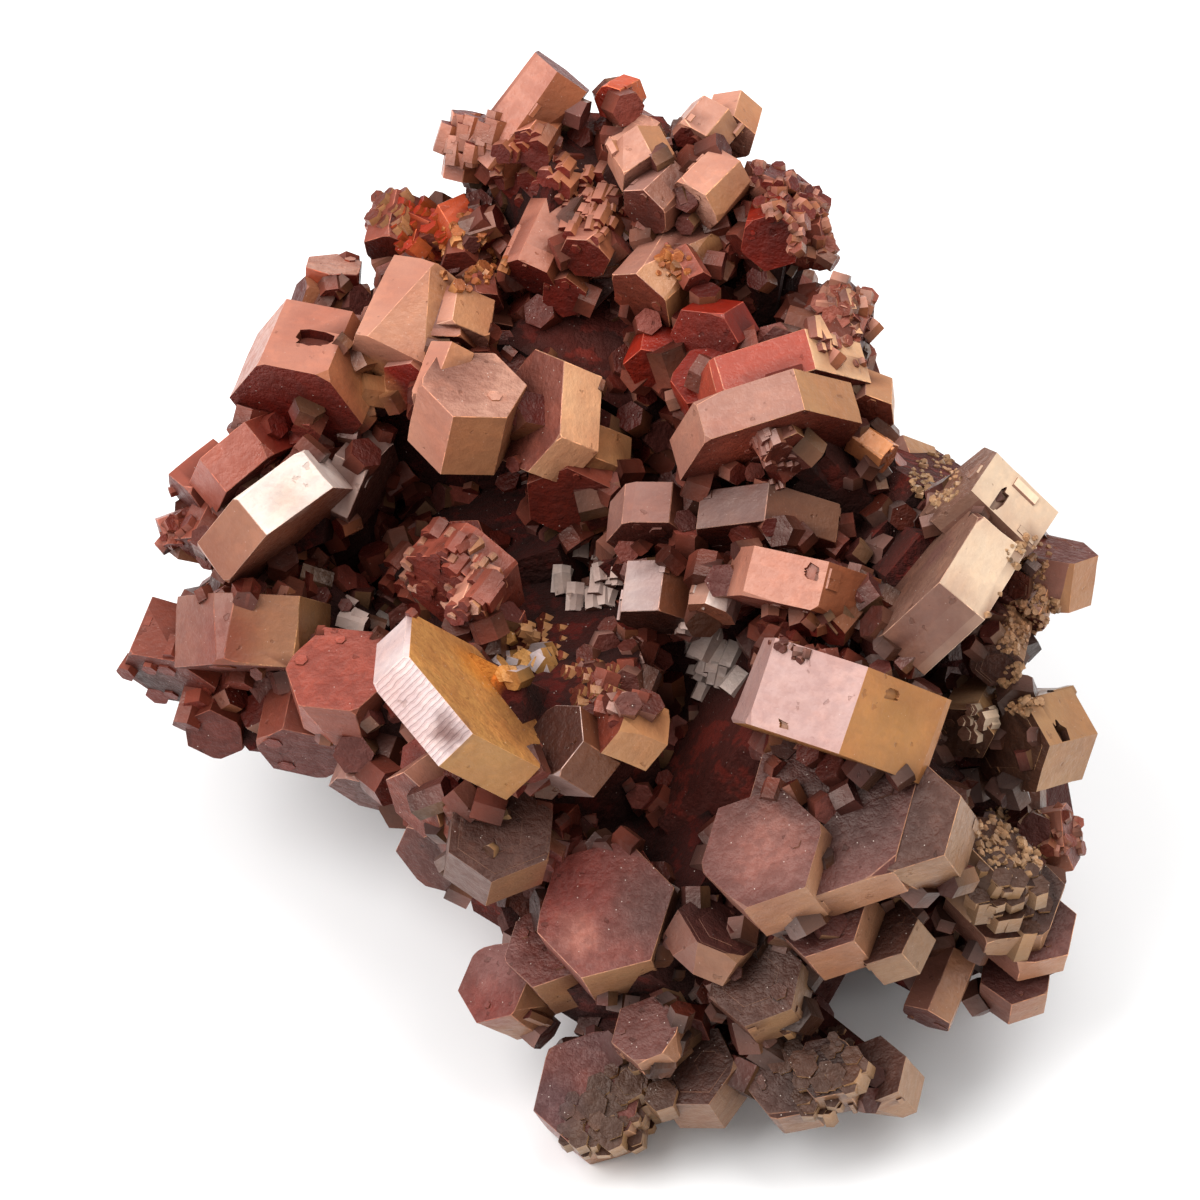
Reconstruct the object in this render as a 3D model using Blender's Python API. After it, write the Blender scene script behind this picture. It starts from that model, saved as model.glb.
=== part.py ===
# Vanadinite crystal cluster: short hexagonal prisms grown together on a lump of the same mineral.
# Metres, +Z up, standing on its flat broken face, with the origin under the middle of its box.
import math
import random
from collections import namedtuple

import bmesh
import bpy
from mathutils import Matrix, Vector

MM = 0.001
SEED = 26
NAME = "vanadinite_cluster"

# The crystals are laid out as they are seen from the front and above, looking down at this slope.
VIEW_SLOPE = 45
# Height of the middle of that view above the face that the cluster rests on, in mm.
VIEW_HEIGHT = 18.0

# One crystal. middle: centre of its free end (right, up, near) in mm. side: a side of its hexagon.
# length: from its free end back. clock: the way the free end points across the view, 0 up, 90 right.
# tilt: how far it leans to the viewer. turn: its roll. wide: how much two opposite sides are longer.
Crystal = namedtuple("Crystal", "name middle side length clock tilt turn wide", defaults=(0,))

UPPER_LEFT = [
    Crystal("lip", (-15.3, 9.5, -1), 3.5, 4.6, 199, 38, 48),
    Crystal("lip red", (-17.2, 6.1, -2), 2.9, 2.2, 141, 8, 57),
    Crystal("white", (-15.4, 3.2, 0), 4.2, 2.5, 140, 8, 20),
    Crystal("grey", (-11.5, 5.6, -3), 2.7, 1.9, 117, 12, 45),
    Crystal("lip arm", (-21.0, 5.0, -4), 1.8, 3, 230, 15, 20),
    Crystal("arm tip", (-22.4, 3.4, -4), 0.9, 2.5, 250, 10, 40),
    Crystal("arm foot", (-20.2, 2.4, -3), 1.6, 3, 205, 20, 5),
    Crystal("small red", (-13.7, 17.3, -6), 1.6, 4, 5, 25, 30),
    Crystal("left top", (-11.2, 20.2, -7), 1.4, 2.5, 315, 30, 10),
    Crystal("left top low", (-10.8, 17.9, -6), 1.5, 3, 190, 30, 20),
    Crystal("left ochre", (-8.5, 20.0, -6), 1.6, 3, 10, 25, 35),
    Crystal("left chip", (-8.6, 18.2, -5), 1.2, 3, 40, 40, 10),
    Crystal("crust ochre", (-6.2, 17.6, -4), 1.5, 3, 150, 30, 10),
    Crystal("five", (-8.7, 16.1, -2), 2.3, 5, 24, -25, 30),
    Crystal("five front", (-7.5, 12.9, -1), 2.2, 2.2, 188, 25, 30),
    Crystal("round", (-5.9, 14.8, -2), 1.1, 2, 170, 40, 20),
    Crystal("round low", (-5.5, 13.0, -3), 1.6, 3, 160, 40, 40),
    Crystal("pale slab", (-8.2, 12.5, -1), 2.2, 2, 180, 20, 5),
    Crystal("pink slab", (-9.4, 10.5, 0), 1.8, 1.8, 216, 38, 5),
    Crystal("centre", (-6.2, 10.6, 4), 2.7, 4, 15, 45, 40),
    Crystal("centre left", (-8.2, 9.6, 3), 1.3, 3, 200, 20, 20),
    Crystal("cream", (-3.4, 9.4, 2), 2.6, 2.6, 290, 39, 34, 1.4),
    Crystal("cream low", (-1.4, 7.6, 1), 1.8, 2.6, 290, 39, 34),
]

TOP = [
    Crystal("spire", (-6.6, 24.8, -4), 1.1, 3.4, 10, 15, 20),
    Crystal("peak", (-1.9, 26.7, -2), 1.9, 6, 38, 11, 27),
    Crystal("peak small", (-3.6, 22.8, -1), 1.1, 2, 214, 47, 8),
    Crystal("peak foot", (-5.2, 22.8, -3), 1.2, 3, 220, 40, 20),
    Crystal("row a", (-3.6, 16.2, -1), 1.6, 4.5, 204, 22, 0),
    Crystal("row b", (-0.8, 17.0, 1), 1.4, 3.4, 203, 40, 34),
    Crystal("row c", (-1.8, 15.2, -1), 1.3, 2.2, 206, 45, 15),
    Crystal("row d", (2.0, 14.8, 2), 1.95, 5.4, 222, 27, 59),
    Crystal("row e", (2.5, 21.2, 1), 1.7, 1.9, 154, 24, 44),
    Crystal("row f", (2.2, 19.2, 2), 1.5, 2.6, 225, 30, 0),
    Crystal("row g", (4.6, 19.5, 2), 1.65, 2.8, 224, 24, 35),
    Crystal("top h", (0.5, 25.1, -2), 1, 2, 235, 50, 18),
    Crystal("top i", (1.6, 23.5, -1), 1.5, 3, 330, 40, 10),
    Crystal("top j", (4.7, 22.8, 0), 1.5, 2, 218, 22, 42),
    Crystal("top k", (6.4, 23.2, -1), 1.5, 2.2, 196, 45, 30),
    Crystal("crust one", (8.7, 21.4, 0), 1.5, 3, 20, 20, 10),
    Crystal("crust two", (10.5, 20.4, -1), 1.4, 3, 50, 25, 30),
    Crystal("crust three", (11.4, 18.2, -1), 1.4, 3, 80, 15, 0),
    Crystal("crust four", (9.6, 19.4, 1), 1.1, 3, 40, 55, 15),
    Crystal("red m", (8.4, 17.6, 3), 1.6, 3, 197, 60, 24),
    Crystal("right lump", (12.9, 14.8, 0), 1.8, 3, 60, 20, 10),
    Crystal("right lump low", (13.1, 12.8, 0), 1.6, 3, 110, 10, 20),
    Crystal("small pink", (4.8, 15.6, 3), 0.8, 2, 150, 30, 10),
]

RIGHT = [
    Crystal("red n", (5.1, 12.8, 4), 1.6, 2, 236, 48, 5, 0.8),
    Crystal("red s", (5.3, 11.0, 5), 2, 3, 340, 50, 20),
    Crystal("red s left", (2.6, 11.4, 2), 1.5, 3, 190, 40, 0),
    Crystal("big o", (8.2, 7.1, 8), 4.3, 2.2, 166, 21, 51, 0.6),
    Crystal("back q", (8.9, 9.2, 5.6), 4.2, 2.2, 166, 21, 51, 0.6),
    Crystal("right p", (13.0, 8.9, 6), 1.4, 2, 186, 47, 18),
    Crystal("ochre r", (13.9, 6.8, 7), 0.9, 2, 125, 20, 20),
    Crystal("block w", (8.1, 2.4, 6), 3.9, 2, 188, 20, 23),
    Crystal("block v", (2.5, 2.8, 5), 2.25, 2.3, 186, 29, 49),
    Crystal("plate one", (8.9, 7.0, 10), 1.3, 1.2, 150, 35, 10),
    Crystal("front low", (-1.5, 4.8, 1), 2.4, 3, 190, 45, 20),
    Crystal("grey mid", (2.7, -1.1, 6), 2.05, 2.6, 188, 17, 30),
    Crystal("small tall", (5.3, -0.7, 8), 1.3, 1.9, 199, 20, 10),
    Crystal("pink mid", (9.3, -0.6, 10), 3.7, 2.4, 194, 4, 42),
    Crystal("big tan", (10.6, -7.2, 12), 4.75, 4.2, 199, 3, 97, 0.8),
    Crystal("big right", (15.1, 1.4, 12), 4.3, 2.8, 309, 10, 32),
    Crystal("upper right", (17.0, 5.5, 10), 2.6, 4.2, 313, 12, 30),
    Crystal("stub", (22.1, 2.5, 6), 2.1, 2.6, 6, 21, 10),
    Crystal("stub low", (20.6, 0.2, 5), 1.4, 3, 200, 30, 10),
    Crystal("tan bit", (20.4, -1.0, 7), 1.2, 2.5, 200, 30, 0),
    Crystal("dark hex", (18.9, -3.1, 9), 1.4, 3.5, 200, 50, 25),
    Crystal("frame", (19.6, -7.0, 8), 2.6, 3.6, 259, 43, 36),
    Crystal("ledge", (17.4, -6.4, 8), 1.6, 3, 215, 50, 20),
    Crystal("far right", (23.2, -11.6, 3), 1.8, 3, 80, 20, 20),
]

MIDDLE = [
    Crystal("yellow", (-5.9, -4.2, 12), 4.9, 2.3, 46, 16, 13),
    Crystal("mauve w", (-2.2, -6.6, 11), 2.05, 2.7, 303, 39, 8),
    Crystal("ledge x", (0.2, -5.6, 11), 1.8, 2.7, 293, 31, 29),
    Crystal("foot y", (-9.0, -9.9, 7), 1.95, 2.4, 234, 32, 36),
    Crystal("mid ledge", (-7.4, 0.2, 3), 3, 2.5, 220, 30, 0),
    Crystal("mid small", (-6.4, -1.0, 6), 1.2, 3, 200, 40, 0),
    Crystal("pink u", (-12.9, -3.4, 2), 2.9, 3, 350, 50, 20),
    Crystal("left block", (-17.6, -3.6, -2), 3.9, 3.6, 182, 6, 10),
    Crystal("far left", (-22.0, -4.1, -4), 2.75, 3.5, 200, 25, 35),
    Crystal("left foot", (-19.7, -6.9, -4), 1.7, 3, 195, 50, 15),
    Crystal("left low", (-15.0, -7.8, -2), 2.6, 3, 190, 30, 5),
    Crystal("left lower", (-11.6, -9.8, 0), 2.2, 3, 200, 20, 40),
    Crystal("hex plate", (-4.7, -11.0, 10), 2.5, 3, 15, 62, 21, 0.5),
    Crystal("plate back", (-8.2, -12.8, 4), 2.2, 3, 220, 40, 21),
]

LOWER = [
    Crystal("stack slab", (10.6, -9.9, 12.8), 4.5, 3, 321, 60, 22),
    Crystal("stack one", (7.5, -11.5, 14), 3.1, 3.6, 321, 57, 22),
    Crystal("stack two", (14.0, -10.0, 14), 2.95, 4, 321, 62, 23),
    Crystal("stack low", (10.4, -14.6, 11), 2.5, 3, 321, 55, 23),
    Crystal("cream low right", (13.4, -15.7, 10), 1.9, 2, 319, 42, 30),
    Crystal("side right", (19.4, -12.0, 9), 2.4, 3, 40, 32, 10),
    Crystal("terrace", (19.7, -14.1, 6), 3, 1.7, 10, 56, 42),
    Crystal("terrace low", (21.0, -15.8, 5), 2.4, 1.6, 5, 55, 40),
    Crystal("terrace foot", (20.4, -18.2, 4), 1.9, 2, 0, 55, 40),
    Crystal("arm low", (15.9, -20.4, 5), 1.4, 3.5, 205, 20, 20),
    Crystal("j", (0.2, -14.8, 8), 3.45, 4, 335, 66, 11, 0.3),
    Crystal("k", (-5.2, -18.7, 4), 2.2, 3.5, 300, 50, 51),
    Crystal("l", (-2.6, -16.8, 5), 2.3, 3.4, 325, 55, 18),
    Crystal("p", (7.4, -18.1, 9), 2.4, 3, 327, 62, 13),
    Crystal("q", (5.7, -15.6, 9), 2.2, 1.8, 29, 30, 48),
    Crystal("m", (-0.5, -23.8, 5), 2.9, 4, 334, 67, 7, 0.3),
    Crystal("n", (4.4, -22.6, 6), 2.3, 3, 330, 55, 33),
    Crystal("o", (9.0, -23.2, 7), 2, 3, 325, 64, 25),
    Crystal("o upper", (10.9, -22.4, 8), 1.7, 2.6, 330, 60, 20),
    Crystal("o right", (13.2, -22.8, 6), 1.8, 3, 320, 55, 20),
    Crystal("thin plate", (2.2, -20.6, 8), 1.8, 1.4, 330, 55, 10),
]
CRYSTALS = UPPER_LEFT + TOP + RIGHT + MIDDLE + LOWER

# Older, larger crystals inside the cluster that the others stand on: (right, up, near) and size in mm.
Lump = namedtuple("Lump", "name middle size")
LUMPS = [
    Lump("peak", (-1, 20, -7), 5.5),
    Lump("upper mound", (2, 13, -10), 8.5),
    Lump("upper right", (7.5, 10.5, -6), 6),
    Lump("upper left", (-7, 12, -8), 5.5),
    Lump("arm", (-15, 5, -9), 5),
    Lump("left", (-15, -3, -8), 5.5),
    Lump("middle", (-4, 0, -9), 7.5),
    Lump("middle right", (8, 0, -4), 8),
    Lump("right", (15, 2, 0), 6),
    Lump("front", (-3, -7, 0), 7),
    Lump("front right", (11, -8, 1), 7.5),
    Lump("lower right", (17, -12, -2), 6.5),
    Lump("lower", (4, -16, -1), 7.5),
    Lump("back", (3, 2, -14), 9),
]
# The foot is the stump that the cluster was broken off at. Its flat face is the underside.
FOOT_MIDDLE = (5.5, 1.5)
FOOT_WIDTH = 28.0
FOOT_DEPTH = 26.0
FOOT_HEIGHT = 12.0

# A root is the buried length of a crystal. Its side and how deep its end hides behind the crystal are
# shares of the crystal's own side.
ROOT_SHARE = 0.6
ROOT_SUNK = 0.45
# Small crystals on the lumps, from and to this side in mm, and how many are tried on each lump.
BACK_SIDE = (1.5, 3.4)
BACK_TRIES = 24
# Two of them stand at least this many mm apart, and none stands farther back than this.
BACK_APART = 4.3
BACK_LIMIT = 20.0
# Seen from the front, each stays this close behind one of the crystals of the table.
BACK_HIDDEN = 1.0


def axes_of(clock, tilt):
    """Directions of a crystal in the view: across the free end, up the free end, and out of it."""
    across = Vector((math.cos(math.radians(clock)), -math.sin(math.radians(clock)), 0))
    lean = math.cos(math.radians(tilt))
    out = Vector((lean * math.sin(math.radians(clock)), lean * math.cos(math.radians(clock)),
                  math.sin(math.radians(tilt))))
    return across, across.cross(out), out


def view_to_world():
    """From the view (right, up, near) in mm to metres with +Z up."""
    slope = math.radians(VIEW_SLOPE)
    turned = Matrix((
        (1, 0, 0, 0),
        (0, math.sin(slope), -math.cos(slope), 0),
        (0, math.cos(slope), math.sin(slope), VIEW_HEIGHT),
        (0, 0, 0, 1),
    ))
    return Matrix.Scale(MM, 4) @ turned


VIEW_TO_WORLD = view_to_world()


def collection_named(name):
    made = bpy.data.collections.new(name)
    bpy.context.scene.collection.children.link(made)
    return made


def add_object(name, mesh_data, collection, helper=True):
    made = bpy.data.objects.new(name, mesh_data)
    collection.objects.link(made)
    if helper:
        made.hide_render = True
        made.display_type = "WIRE"
    return made


def prism(name, middle, side, length, axes, turn, wide, collection, shrink=1.0):
    """A hexagonal prism whose free end is centred on middle and whose length runs back from there."""
    across, up, out = axes
    shape = bmesh.new()
    bmesh.ops.create_cone(shape, cap_ends=True, segments=6, radius1=side * shrink, radius2=side,
                          depth=length)
    bmesh.ops.rotate(shape, verts=shape.verts, cent=(0, 0, 0),
                     matrix=Matrix.Rotation(math.radians(turn - 30), 3, "Z"))
    longer = math.radians(turn + 120)
    edge = Vector((math.cos(longer), math.sin(longer), 0))
    for corner in shape.verts:
        corner.co += edge * (wide / 2 if corner.co.dot(edge) > 0 else -wide / 2)
    bmesh.ops.translate(shape, verts=shape.verts, vec=(0, 0, -length / 2))
    frame = Matrix((across, up, out)).transposed().to_4x4()
    frame.translation = Vector(middle)
    bmesh.ops.transform(shape, matrix=VIEW_TO_WORLD @ frame, verts=shape.verts)
    # Across, up and out are a left-handed set, so the faces are turned to look outwards again.
    bmesh.ops.reverse_faces(shape, faces=shape.faces)
    mesh_data = bpy.data.meshes.new(name)
    shape.to_mesh(mesh_data)
    shape.free()
    return add_object(name, mesh_data, collection)


def axes_along(direction):
    """The same three directions for a prism that points along a direction of the view."""
    out = direction.normalized()
    clock = math.degrees(math.atan2(out.x, out.y))
    tilt = math.degrees(math.asin(max(-1, min(1, out.z))))
    return axes_of(clock, tilt)


def nearest_lump(point):
    return min(LUMPS, key=lambda lump: (Vector(lump.middle) - point).length - lump.size)


def add_front_crystals(collection):
    """Each crystal of the front, and its root that runs back into the lump behind it."""
    for crystal in CRYSTALS:
        axes = axes_of(crystal.clock, crystal.tilt)
        prism(crystal.name, crystal.middle, crystal.side, crystal.length, axes, crystal.turn,
              crystal.wide, collection)
        heart = Vector(crystal.middle) - axes[2] * crystal.length * 0.55
        lump = nearest_lump(heart)
        inward = heart - Vector(lump.middle)
        sunk = crystal.side * ROOT_SUNK
        reach = max(inward.length - lump.size * 0.35 - sunk, 2.0)
        prism(crystal.name + " root", heart - inward.normalized() * sunk,
              crystal.side * ROOT_SHARE, reach, axes_along(inward), crystal.turn + 17, 0, collection)


def add_lumps(collection, dice):
    """Stout prisms that fill the inside, each turned its own way."""
    for lump in LUMPS:
        axes = axes_of(dice.uniform(0, 360), dice.uniform(20, 70))
        start = Vector(lump.middle) + axes[2] * lump.size * 0.8
        prism(lump.name + " lump", start, lump.size * 0.95, lump.size * 1.6, axes,
              dice.uniform(0, 60), 0, collection)


def add_foot(collection):
    """The broken stump under everything, nine-sided and narrower towards the ground."""
    shape = bmesh.new()
    bmesh.ops.create_cone(shape, cap_ends=True, segments=9, radius1=0.5, radius2=0.56,
                          depth=FOOT_HEIGHT + 4)
    bmesh.ops.scale(shape, vec=(FOOT_WIDTH, FOOT_DEPTH, 1), verts=shape.verts)
    bmesh.ops.translate(shape, vec=(*FOOT_MIDDLE, (FOOT_HEIGHT - 4) / 2), verts=shape.verts)
    bmesh.ops.scale(shape, vec=(MM, MM, MM), verts=shape.verts)
    mesh_data = bpy.data.meshes.new("foot")
    shape.to_mesh(mesh_data)
    shape.free()
    return add_object("foot", mesh_data, collection)


def spread_directions(count):
    """Directions spread evenly over a ball."""
    for step in range(count):
        height = 1 - 2 * (step + 0.5) / count
        around = step * math.pi * (3 - math.sqrt(5))
        ring = math.sqrt(1 - height * height)
        yield Vector((ring * math.cos(around), ring * math.sin(around), height))


def behind_table(end, side):
    """True where a crystal of this side is covered by the table's crystals, seen from the front."""
    place = Vector((end.x, end.y))
    return any((Vector(crystal.middle[:2]) - place).length + side * 0.5 < crystal.side + BACK_HIDDEN
               for crystal in CRYSTALS)


def add_back_crystals(collection, dice):
    """Crystals on the lumps: in the hollows of the front, and over the sides and the back."""
    placed = []
    for lump in LUMPS:
        for direction in spread_directions(BACK_TRIES):
            surface = Vector(lump.middle) + direction * lump.size * 0.95
            world = VIEW_TO_WORLD @ surface
            inside = any((Vector(other.middle) - surface).length < other.size * 0.85
                         for other in LUMPS if other is not lump)
            crowded = any((surface - seen).length < BACK_APART for seen in placed)
            if inside or crowded or world.z < 2.5 * MM or world.y > BACK_LIMIT * MM:
                continue
            side = dice.uniform(*BACK_SIDE) * (0.6 if direction.z > 0 else 1)
            lean = Vector([dice.uniform(-0.45, 0.45) for _ in range(3)])
            axes = axes_along(direction + lean)
            end = surface + axes[2] * dice.uniform(0.4, 1.6)
            if direction.z < -0.6 or behind_table(end, side):
                placed.append(surface)
                prism(f"back {len(placed)}", end, side, side * 2.2, axes, dice.uniform(0, 60), 0,
                      collection, shrink=0.8)
    return placed


# Ledges and small crystals on the free ends of the larger ones, as shares of the side.
LEDGE_SHARE = 0.74
LEDGE_RISE = 0.35
LEDGED = ("lip", "cream", "big o", "big right", "stack one", "stack two", "j", "m", "yellow",
          "white", "p", "left block", "pink mid", "hex plate")


def add_ledges(collection, dice):
    """A second, smaller layer standing a little proud of the free end."""
    for crystal in CRYSTALS:
        if crystal.name not in LEDGED:
            continue
        across, up, out = axes_of(crystal.clock, crystal.tilt)
        slide = (1 - LEDGE_SHARE) * crystal.side * 0.55
        around = dice.uniform(0, math.tau)
        end = (Vector(crystal.middle) + out * LEDGE_RISE
               + across * slide * math.cos(around) + up * slide * math.sin(around))
        prism(crystal.name + " ledge", end, crystal.side * LEDGE_SHARE, 1.2, (across, up, out),
              crystal.turn, crystal.wide * LEDGE_SHARE, collection)


# Hollows: (name, crystal it is cut in, place across and up its free end, side, depth), all in mm.
Hollow = namedtuple("Hollow", "name crystal across up side depth")
HOLLOWS = [
    Hollow("lip notch", "lip", 0.6, 2.6, 1.0, 1.6),
    Hollow("hopper notch", "upper right", -0.3, 1.9, 0.9, 1.8),
    Hollow("top pit", "top i", 0, 0.2, 0.55, 0.9),
    Hollow("stub pit", "stub", 0.2, 0.1, 0.9, 0.8),
    Hollow("dark pit", "dark hex", 0, 0, 0.9, 1.2),
    Hollow("frame hole", "frame", 0.2, 0.9, 1.0, 1.6),
]


def add_hollows(collection):
    """Six-sided pits that start outside the free end and stop inside the crystal."""
    for hollow in HOLLOWS:
        crystal = next(each for each in CRYSTALS if each.name == hollow.crystal)
        across, up, out = axes_of(crystal.clock, crystal.tilt)
        start = (Vector(crystal.middle) + across * hollow.across + up * hollow.up + out * 1.5)
        prism(hollow.name, start, hollow.side, hollow.depth + 1.5, (across, up, out),
              crystal.turn, 0, collection)


def add_ground_cutter(collection):
    """Everything under the resting face."""
    shape = bmesh.new()
    bmesh.ops.create_cube(shape, size=0.2)
    bmesh.ops.translate(shape, vec=(0, 0, -0.1), verts=shape.verts)
    mesh_data = bpy.data.meshes.new("ground")
    shape.to_mesh(mesh_data)
    shape.free()
    return add_object("ground", mesh_data, collection)


def boolean(target, name, operation, collection):
    step = target.modifiers.new(name, "BOOLEAN")
    step.operation = operation
    step.solver = "EXACT"
    step.operand_type = "COLLECTION"
    step.collection = collection


def outer_shell(mesh_data):
    """Keeps the one outer shell: closed voids between crystals and loose chips are dropped."""
    shape = bmesh.new()
    shape.from_mesh(mesh_data)
    bmesh.ops.remove_doubles(shape, verts=shape.verts, dist=0.000001)
    bmesh.ops.dissolve_degenerate(shape, edges=shape.edges, dist=0.000001)
    unseen = set(shape.faces)
    shells = []
    while unseen:
        shell = set()
        front = [unseen.pop()]
        while front:
            face = front.pop()
            shell.add(face)
            for edge in face.edges:
                for other in edge.link_faces if len(edge.link_faces) == 2 else ():
                    if other in unseen:
                        unseen.discard(other)
                        front.append(other)
        shells.append(shell)
    shells.sort(key=len)
    for shell in shells[:-1]:
        bmesh.ops.delete(shape, geom=list(shell), context="FACES")
    shape.to_mesh(mesh_data)
    shape.free()
    return len(shells) - 1


def stone():
    material = bpy.data.materials.new("vanadinite")
    material.use_nodes = True
    surface = material.node_tree.nodes["Principled BSDF"]
    surface.inputs["Base Color"].default_value = (0.42, 0.2, 0.13, 1)
    surface.inputs["Roughness"].default_value = 0.35
    return material


def build():
    for old in list(bpy.data.objects):
        bpy.data.objects.remove(old)
    dice = random.Random(SEED)
    growth = collection_named("growth")
    hollows = collection_named("hollows")
    own = collection_named(NAME)

    add_lumps(growth, dice)
    add_front_crystals(growth)
    add_ledges(growth, dice)
    placed = add_back_crystals(growth, dice)
    add_hollows(hollows)
    add_ground_cutter(hollows)

    cluster = add_object(NAME, add_foot(growth).data.copy(), own, helper=False)
    boolean(cluster, "grown together", "UNION", growth)
    boolean(cluster, "pits and resting face", "DIFFERENCE", hollows)
    bpy.context.view_layer.update()
    graph = bpy.context.evaluated_depsgraph_get()
    solid = bpy.data.meshes.new_from_object(cluster.evaluated_get(graph))
    cluster.modifiers.clear()
    cluster.data = solid
    dropped = outer_shell(solid)

    points = [corner.co for corner in solid.vertices]
    low = Vector([min(point[axis] for point in points) for axis in range(3)])
    high = Vector([max(point[axis] for point in points) for axis in range(3)])
    shift = Vector((-(low.x + high.x) / 2, -(low.y + high.y) / 2, -low.z))
    solid.transform(Matrix.Translation(shift))
    solid.materials.clear()
    solid.materials.append(stone())
    for face in solid.polygons:
        face.material_index = 0
    print("crystals on the back:", len(placed), "shells dropped:", dropped)
    print("shift mm:", [round(part / MM, 3) for part in shift])
    print("size mm:", [round(part / MM, 2) for part in high - low])


build()
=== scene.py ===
# %% [markdown]
# Vanadinite cluster. The real thing is a fist of stubby six-sided crystals that grew into each other.
# Their end faces are maroon to mauve and slightly grainy, and every edge is chipped, stepped or crusted
# with small crystals. Their side faces are pink where they look up and tan where they look down, partly
# in the stone's own tones and partly from the sheen of the light, which is painted into their colour.
# This notebook builds that surface over the plain solid of the frame, one kind of growth at a time.

# %% Load the frame and keep its box
import math
import random
from collections import namedtuple

import bmesh
import bpy
from mathutils import Matrix, Vector
from mathutils.bvhtree import BVHTree


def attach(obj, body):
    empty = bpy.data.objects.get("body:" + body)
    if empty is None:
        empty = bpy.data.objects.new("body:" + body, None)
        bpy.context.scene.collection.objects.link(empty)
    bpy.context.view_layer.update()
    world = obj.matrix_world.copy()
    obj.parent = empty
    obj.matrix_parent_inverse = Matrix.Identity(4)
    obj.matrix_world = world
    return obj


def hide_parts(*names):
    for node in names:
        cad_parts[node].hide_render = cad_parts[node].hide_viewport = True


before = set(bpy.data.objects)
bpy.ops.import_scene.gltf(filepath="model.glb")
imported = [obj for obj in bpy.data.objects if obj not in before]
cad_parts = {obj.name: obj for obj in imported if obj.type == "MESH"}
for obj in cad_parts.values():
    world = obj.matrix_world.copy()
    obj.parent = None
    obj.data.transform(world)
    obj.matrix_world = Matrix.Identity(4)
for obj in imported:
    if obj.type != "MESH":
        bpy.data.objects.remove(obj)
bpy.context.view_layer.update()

MM = 0.001
NODE = "vanadinite_cluster"

# %% [markdown]
# The crystals are laid out the way they are seen: looking down on the cluster at 45 degrees. Right and
# up lie in the picture, near points at the viewer, all in millimetres. One matrix takes that layout to
# the upright object, so a crystal measured in the picture still stands correctly in the round.

# %% From the layout to the object
VIEW_SLOPE = 45
VIEW_HEIGHT = 18.0
BOX_SHIFT = (0.023, -1.483, 0)
VIEW_DISTANCE = 200.0
SEED = 26


def view_to_world():
    slope = math.radians(VIEW_SLOPE)
    turned = Matrix((
        (1, 0, 0, BOX_SHIFT[0]),
        (0, math.sin(slope), -math.cos(slope), BOX_SHIFT[1]),
        (0, math.cos(slope), math.sin(slope), VIEW_HEIGHT),
        (0, 0, 0, 1),
    ))
    return Matrix.Scale(MM, 4) @ turned


VIEW_TO_WORLD = view_to_world()
WORLD_TO_VIEW = VIEW_TO_WORLD.inverted()
print("camera stands at", [round(part, 4) for part in VIEW_TO_WORLD @ Vector((0, 0, VIEW_DISTANCE))])

# %% [markdown]
# A product photographer would put this on white paper under one large soft light from above and behind,
# with white card around it. The camera is a short telephoto, 200 mm away, so near crystals look a
# little larger than far ones.

# %% Camera
camera_data = bpy.data.cameras.new("camera")
camera_data.sensor_width = 36
camera_data.lens = 120
camera_data.clip_start = 0.01
camera = bpy.data.objects.new("camera", camera_data)
turn = VIEW_TO_WORLD.to_3x3().normalized()
camera.matrix_world = Matrix.Translation(VIEW_TO_WORLD @ Vector((0, 0, VIEW_DISTANCE))) @ turn.to_4x4()
bpy.context.scene.collection.objects.link(camera)
bpy.context.scene.camera = camera
print("lens", camera_data.lens, "mm")

# %% Paper under the cluster
def plain_material(name, colour, roughness):
    made = bpy.data.materials.new(name)
    made.use_nodes = True
    surface = made.node_tree.nodes["Principled BSDF"]
    surface.inputs["Base Color"].default_value = (*colour, 1)
    surface.inputs["Roughness"].default_value = roughness
    return made


floor_shape = bmesh.new()
bmesh.ops.create_grid(floor_shape, x_segments=1, y_segments=1, size=3)
floor_mesh = bpy.data.meshes.new("floor")
floor_shape.to_mesh(floor_mesh)
floor_shape.free()
floor = bpy.data.objects.new("floor", floor_mesh)
floor.data.materials.append(plain_material("paper", (0.93, 0.93, 0.93), 0.9))
bpy.context.scene.collection.objects.link(floor)
print("paper:", [round(part, 1) for part in floor.dimensions[:2]], "m")

# %% White card around it, and the lights
room = bpy.data.worlds.new("room")
room.use_nodes = True
room.node_tree.nodes["Background"].inputs["Color"].default_value = (1, 1, 1, 1)
room.node_tree.nodes["Background"].inputs["Strength"].default_value = 0.6
bpy.context.scene.world = room
bpy.context.scene.view_settings.view_transform = "Standard"

Lamp = namedtuple("Lamp", "name place size power")
LAMPS = [
    Lamp("key", (-210, 120, 240), 300, 1.2),
    Lamp("top", (80, 260, 190), 260, 0.72),
    Lamp("right", (300, 40, 120), 120, 0.12),
]
for lamp in LAMPS:
    light_data = bpy.data.lights.new(lamp.name, "AREA")
    light_data.shape = "DISK"
    light_data.size = lamp.size * MM
    light_data.energy = lamp.power
    light = bpy.data.objects.new(lamp.name, light_data)
    place = VIEW_TO_WORLD @ Vector(lamp.place)
    aim = (VIEW_TO_WORLD @ Vector((0, 0, 0))) - place
    light.matrix_world = Matrix.Translation(place) @ aim.to_track_quat("-Z", "Y").to_matrix().to_4x4()
    bpy.context.scene.collection.objects.link(light)
print("lights:", [lamp.name for lamp in LAMPS])
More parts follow.
